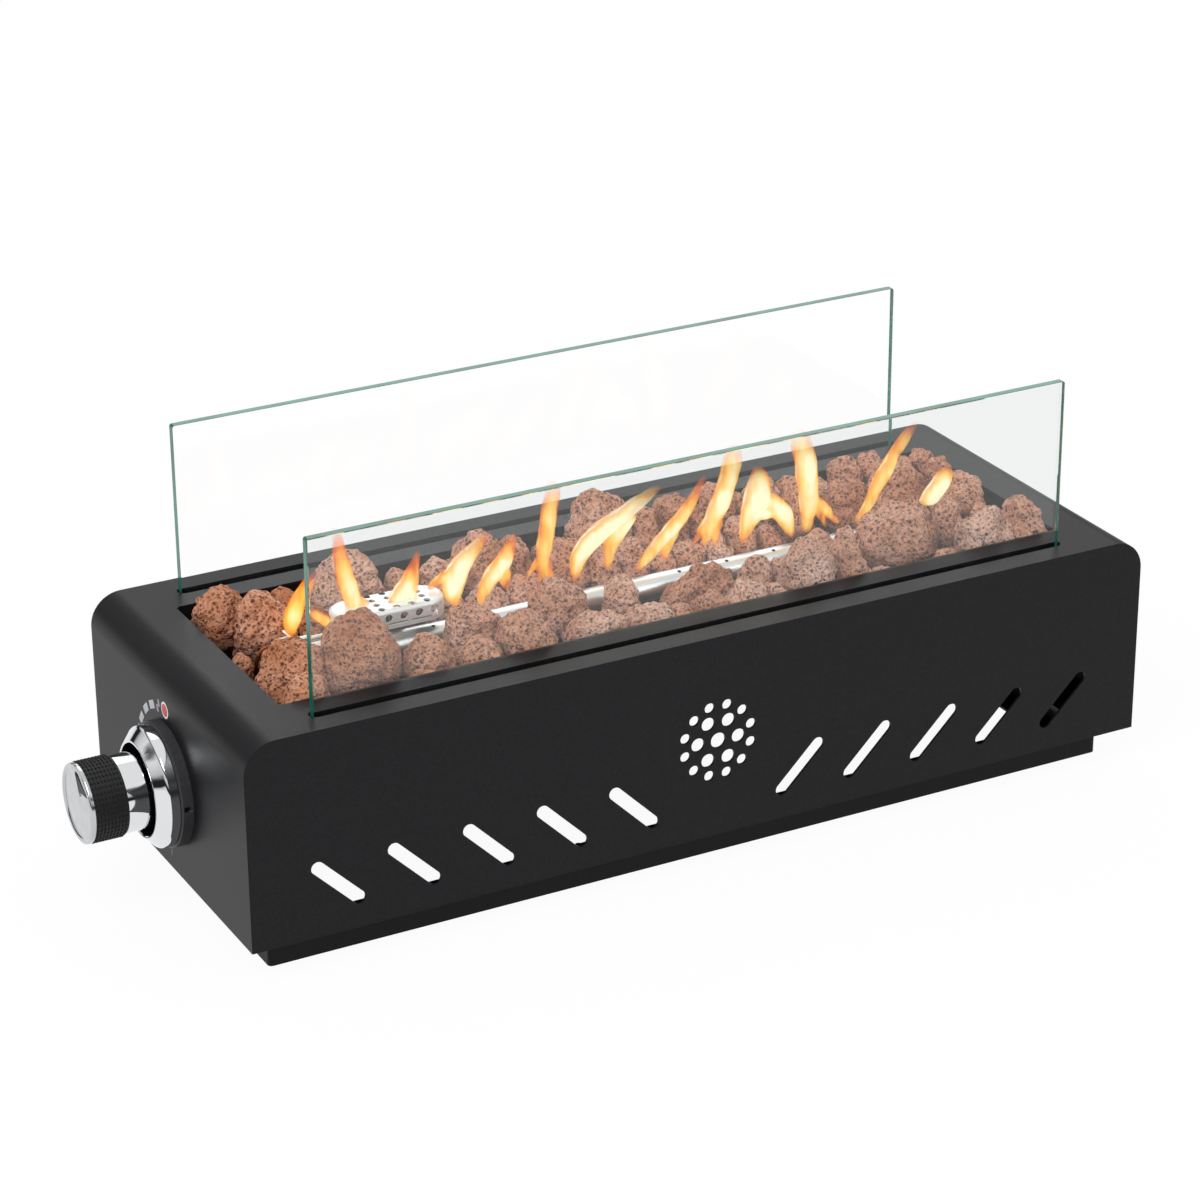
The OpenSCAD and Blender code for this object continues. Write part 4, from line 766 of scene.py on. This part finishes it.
def buildDial():
    layMark("dialOffRing", 0, dial["radius"], (dial["offRing"], dial["offRing"]),
            dial["offSides"], "inkWhite")
    layMark("dialOffDot", 0, dial["radius"], (dial["offDot"], dial["offDot"]),
            dial["offSides"], "inkRed", dial["thickness"])
    for name, angle, outwards, width, height, ink in dial["marks"]:
        layMark(name, angle, dial["radius"] + mm(outwards), (mm(width), mm(height)), 4, ink)


buildDial()
print("dial printed")


# Glass guards

guards = dict(edge=mm(0.5), smoothAngle=2, faceShare=0.9)


def buildGlass():
    for node, name, pane in (("front_glass", "frontGuard", "glass"),
                             ("rear_glass", "rearGuard", "rearGlass")):
        guard = copyNode(node, name, guards["edge"], node, guards["smoothAngle"])
        paint(guard, finish[pane], finish["glassEdge"])
        for face in guard.data.polygons:
            face.material_index = 0 if abs(face.normal[1]) > guards["faceShare"] else 1


buildGlass()
print("glass set")


# Lava stones

# Swell and shoulder are scales across, and a break cuts at a tilt in degrees and at a share of
# the stone's reach. Lumps, knobs and pits have a height and a size. Brown stones stand left
# of brownEnd. Reshaped: the stone near this place is scaled and moved along X, as in the
# photograph
stones = dict(voxel=mm(1.05), swell=1.03, shoulder=1.12, shoulderFrom=0.1, breaks=7,
              topTilt=(68, 88), breakTilt=(5, 60), breakReach=(0.76, 0.96), smoothing=2,
              lump=mm(2.6), knob=mm(1.8), pit=mm(1.4), lumpSize=mm(20), knobSize=mm(6),
              pitSize=mm(3.4), plainBulk=mm(14), mostBulk=2.2, near=mm(7), wall=mm(10.4),
              tints=(-0.04, 0.2), brownEnd=mm(-140), brown=0.12, smoothAngle=60, seed=11,
              reshaped=((-194, -29, (1.42, 1.35, 1.08), 6), (-157, -41, (1.08, 1.06, 0.9), 2)))


def displaceTexture(name, kind, size, **settings):
    texture = bpy.data.textures.new(name, kind)
    texture.noise_scale = size
    for key, value in settings.items():
        setattr(texture, key, value)
    return texture


# Cuts off what lies past a plane, and closes the cut
def cutFlat(obj, place, normal):
    editMode(obj)
    bpy.ops.mesh.bisect(plane_co=place, plane_no=normal, use_fill=True, clear_outer=True)
    objectMode()


# Keeps the largest closed body of a mesh, and drops the crumbs that a cut leaves
def dropCrumbs(obj):
    editMode(obj)
    bpy.ops.mesh.separate(type="LOOSE")
    objectMode()
    parts = sorted(bpy.context.selected_objects, key=lambda o: -len(o.data.polygons))
    for crumb in parts[1:]:
        bpy.data.objects.remove(crumb)
    return parts[0]


# Makes one CAD stone into a rough lump: broad shoulders, a few flat breaks, then remeshed
# and displaced, cut where it would pass the tray's walls, and remeshed into one clean skin
def roughenStone(stone, textures, walls, chance):
    points = [v.co.copy() for v in stone.data.vertices]
    low = Vector([min(p[i] for p in points) for i in range(3)])
    high = Vector([max(p[i] for p in points) for i in range(3)])
    middle, half = (low + high) / 2, (high - low) / 2
    editMode(stone)
    bpy.ops.transform.resize(value=(stones["swell"], stones["swell"], 1.0),
                             center_override=middle)
    objectMode()
    ledge = middle[2] + half[2] * stones["shoulderFrom"]
    editMode(stone, lambda face: face.center[2] > ledge)
    bpy.ops.transform.resize(value=(stones["shoulder"], stones["shoulder"], 1.0),
                             center_override=middle)
    objectMode()
    for x, y, scale, along in stones["reshaped"]:
        if (Vector((mm(x), mm(y), 0)) - Vector((middle[0], middle[1], 0))).length < stones["near"]:
            editMode(stone)
            bpy.ops.transform.resize(value=scale, center_override=(middle[0], middle[1], low[2]))
            bpy.ops.transform.translate(value=(mm(along), 0, 0))
            objectMode()
            middle[0] += mm(along)
            half = Vector([half[i] * scale[i] for i in range(3)])
    for count in range(stones["breaks"]):
        turn = chance.uniform(0, math.tau)
        tilt = math.radians(chance.uniform(*stones["breakTilt" if count else "topTilt"]))
        facing = Vector((math.cos(turn) * math.cos(tilt), math.sin(turn) * math.cos(tilt),
                         math.sin(tilt)))
        reach = math.sqrt(sum((half[i] * facing[i]) ** 2 for i in range(3)))
        cutFlat(stone, middle + facing * reach * chance.uniform(*stones["breakReach"]), facing)
    applyModifier(stone, "REMESH", mode="VOXEL", voxel_size=stones["voxel"])
    applyModifier(stone, "SMOOTH", factor=0.5, iterations=stones["smoothing"])
    bulk = min(max(half) / stones["plainBulk"], stones["mostBulk"])
    for (texture, strength), share in zip(textures, (bulk, 1, 1)):
        applyModifier(stone, "DISPLACE", texture=texture, strength=strength * share,
                      mid_level=0.5, texture_coords="LOCAL")
    for place, normal in walls:
        reached = max((v.co - Vector(place)).dot(Vector(normal)) for v in stone.data.vertices)
        if reached > 0:
            cutFlat(stone, place, normal)
    applyModifier(stone, "REMESH", mode="VOXEL", voxel_size=stones["voxel"])
    stone = dropCrumbs(stone)
    tint = stone.data.attributes.new("stoneTint", "FLOAT", "POINT")
    rise = stone.data.attributes.new("stoneRise", "FLOAT", "POINT")
    # The stones near the left end are browner
    value = chance.uniform(*stones["tints"])
    if middle[0] < stones["brownEnd"]:
        value -= stones["brown"]
    # Each point's rise from the stone's foot drives the painted shade at the foot
    heights = [v.co[2] for v in stone.data.vertices]
    foot, top = min(heights), max(heights)
    for item, lift, height in zip(tint.data, rise.data, heights):
        item.value = value
        lift.value = (height - foot) / (top - foot)
    return stone


def buildStones():
    chance = random.Random(stones["seed"])
    textures = (
        (displaceTexture("stoneLumps", "CLOUDS", stones["lumpSize"], noise_depth=2),
         stones["lump"] * 2),
        (displaceTexture("stoneKnobs", "CLOUDS", stones["knobSize"], noise_depth=3,
                         noise_type="HARD_NOISE"), -stones["knob"] * 2),
        (displaceTexture("stonePits", "VORONOI", stones["pitSize"],
                         distance_metric="DISTANCE"), stones["pit"] * 2),
    )
    trayLow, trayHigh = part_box("burner_tray")
    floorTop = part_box("stones_front")[0][2]
    inset = Vector((stones["wall"],) * 3)
    openLow, openHigh = trayLow + inset, trayHigh - inset
    walls = (((0, 0, floorTop), (0, 0, -1)), ((openLow[0], 0, 0), (-1, 0, 0)),
             ((openHigh[0], 0, 0), (1, 0, 0)), ((0, openLow[1], 0), (0, -1, 0)),
             ((0, openHigh[1], 0), (0, 1, 0)))
    for node, name in (("stones_front", "lavaFront"), ("stones_inner_front", "lavaInnerFront"),
                       ("stones_inner_back", "lavaInnerBack"), ("stones_back", "lavaBack"),
                       ("stones_large", "lavaLarge")):
        base = bpy.data.objects.new(name, cadNodes[node].data.copy())
        bpy.context.scene.collection.objects.link(base)
        editMode(base)
        bpy.ops.mesh.remove_doubles(threshold=cadCopy["weld"])
        bpy.ops.mesh.separate(type="LOOSE")
        objectMode()
        pieces = sorted(bpy.context.selected_objects, key=lambda o: o.name)
        pieces = [roughenStone(stone, textures, walls, chance) for stone in pieces]
        heap = joinPieces(pieces, name)
        smooth(heap, stones["smoothAngle"])
        paint(heap, finish["lava"])
        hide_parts(node)
        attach(heap, "housing")
        print("stones laid:", name)


buildStones()


# Flames

# Each flame: how far behind the middle it stands, and its strands. A strand's points are
# (x from the housing's middle, height above the ground, half width), all in mm.
# Full depth is where a flame is at its thickest to the eye, and edgePower thins its rim.
flames = dict(depth=0.55, sides=12, voxel=mm(0.75), smoothing=5, ripple=mm(2.2),
              rippleSize=mm(13), fullDepth=mm(3.9), edgePower=1.4, spread=1.15, tongues=(
    ("flameA", 6, (
        ((-199, 136, 1.7), (-198, 145, 4.6), (-196, 154, 5.4), (-191, 163, 4), (-186, 170, 2.3),
         (-183, 177, 1.0)),)),
    ("flameB", 3, (
        ((-174, 136, 1.2), (-179, 143, 4.4), (-185, 149, 4.4), (-191, 155, 2.4)),)),
    ("flameC", 2, (
        ((-164, 138, 1.6), (-163, 148, 4.6), (-167, 160, 5.6), (-170, 173, 4.8), (-172, 185, 4),
         (-174, 200, 3.2)),
        ((-152, 142, 1.4), (-157, 148, 3.4), (-165, 158, 4.4)))),
    ("flameD", 0, (
        ((-140, 143, 6), (-137, 151, 8), (-132, 160, 5.6), (-129, 168, 3), (-126, 177, 1)),)),
    ("flameE", 0, (
        ((-104, 135, 1.4), (-107, 146, 5), (-106, 157, 8), (-98, 166, 7), (-90, 173, 4.4),
         (-82, 180, 1.6)),
        ((-121, 151, 2), (-114, 156, 4.6), (-106, 161, 6)))),
    ("flameF", -2, (
        ((-91, 135, 1.4), (-89, 144, 4.4), (-82, 154, 6.6), (-76, 162, 6), (-72, 169, 4),
         (-70, 177, 1.6)),
        ((-75, 140, 1.2), (-76, 148, 3.4), (-77, 157, 5)))),
    ("flameG", 0, (
        ((-54, 137, 1.3), (-53, 147, 2.8), (-51, 158, 4.2), (-49, 170, 4.8), (-47, 184, 5),
         (-44, 200, 4.6)),
        ((-67, 143, 1.2), (-60, 147, 2.6), (-52, 158, 3.4)),
        ((-45, 136, 1.1), (-48, 146, 2.4), (-51, 158, 3.4)))),
    ("flameH", 2, (
        ((-30, 134, 1.5), (-31, 146, 4.4), (-24, 157, 8), (-9, 167, 9.6), (7, 175, 7),
         (24, 184, 3.4)),
        ((-11, 138, 1.4), (-10, 148, 3.6), (-6, 160, 6.4), (4, 170, 7)))),
    ("flameI", -1, (
        ((5, 134, 2), (14, 144, 5), (27, 155, 6.4), (37, 166, 4.6), (44, 176, 2.8), (51, 187, 0.9)),
        ((23, 137, 1.4), (25, 147, 4), (31, 158, 5)))),
    ("flameJ", 1, (
        ((49, 134, 1.2), (51, 146, 3.2), (57, 158, 6), (64, 172, 6.2), (67, 183, 5.8),
         (71, 200, 5)),
        ((42, 141, 1.4), (48, 150, 3.6), (58, 162, 5)),
        ((59, 135, 1.2), (57, 146, 3), (59, 158, 4.6)))),
    ("flameK", 0, (
        ((75, 135, 1.4), (77, 146, 4.4), (82, 156, 8), (85, 166, 8.4), (84, 175, 6), (84, 184, 3)),
        ((107, 133, 1.4), (104, 145, 4.8), (97, 155, 7.4), (89, 166, 7)),
        ((90, 149, 6), (88, 158, 8)))),
    ("flameL", 1, (
        ((117, 134, 1.8), (119, 146, 4.6), (119, 160, 6.4), (117, 173, 6.8), (114, 185, 6.6),
         (112, 200, 5.6)),
        ((139, 136, 1.3), (132, 143, 3.4), (121, 158, 5)),
        ((131, 135, 1.2), (127, 143, 2.8), (121, 155, 4)))),
    ("flameM", -1, (
        ((147, 133, 1.2), (156, 143, 4.2), (164, 157, 5), (171, 170, 5), (179, 181, 4.6),
         (189, 192, 3.4)),)),
    ("flameN", 0, (
        ((198, 136, 6), (203, 144, 8), (208, 151, 6), (211, 160, 2)),)),
))


def buildStrand(points, back):
    middleX = (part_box("housing_wrap")[0][0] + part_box("housing_wrap")[1][0]) / 2
    spine = [(middleX + mm(x), mm(back), mm(z), mm(w) * flames["spread"]) for x, z, w in points]
    bpy.ops.mesh.primitive_circle_add(vertices=flames["sides"], radius=1, fill_type="NGON",
                                      location=spine[0][:3])
    strand = bpy.context.object
    strand.scale = (spine[0][3], spine[0][3] * flames["depth"], 1)
    settle(strand)
    editMode(strand)
    for before, after in zip(spine, spine[1:]):
        step = Vector(after[:3]) - Vector(before[:3])
        bpy.ops.mesh.extrude_region_move(TRANSFORM_OT_translate={"value": step})
        grow = after[3] / before[3]
        bpy.ops.transform.resize(value=(grow, grow, 1), center_override=after[:3])
    bpy.ops.mesh.select_all(action="SELECT")
    bpy.ops.mesh.normals_make_consistent(inside=False)
    objectMode()
    applyModifier(strand, "SUBSURF", levels=2, render_levels=2)
    return strand


def buildFlame(name, back, strands, ripple):
    flame = joinPieces([buildStrand(points, back) for points in strands], name)
    applyModifier(flame, "REMESH", mode="VOXEL", voxel_size=flames["voxel"])
    applyModifier(flame, "SMOOTH", factor=0.5, iterations=flames["smoothing"])
    applyModifier(flame, "DISPLACE", texture=ripple, strength=flames["ripple"], mid_level=0.5,
                  texture_coords="LOCAL")
    heights = [v.co[2] for v in flame.data.vertices]
    foot, tip = min(heights), max(heights)
    thick = flame.data.attributes.new("flameThick", "FLOAT", "POINT")
    rise = flame.data.attributes.new("flameRise", "FLOAT", "POINT")
    for vertex, depth, height in zip(flame.data.vertices, thick.data, rise.data):
        depth.value = (abs(vertex.co[1] - mm(back)) / flames["fullDepth"]) ** flames["edgePower"]
        height.value = (vertex.co[2] - foot) / (tip - foot)
    smooth(flame, 180)
    paint(flame, finish["flame"])
    # Fire casts no shadow
    flame.visible_shadow = False
    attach(flame, "housing")


def buildFlames():
    ripple = displaceTexture("flameRipple", "CLOUDS", flames["rippleSize"], noise_depth=1)
    for name, back, strands in flames["tongues"]:
        buildFlame(name, back, strands, ripple)


buildFlames()
print("flames lit")


def plainList(value):
    return [plainList(v) for v in value] if hasattr(value, "__len__") else float(value)


{"cad": plainList(cadBox), "visual": plainList(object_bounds())}
deselectAll()
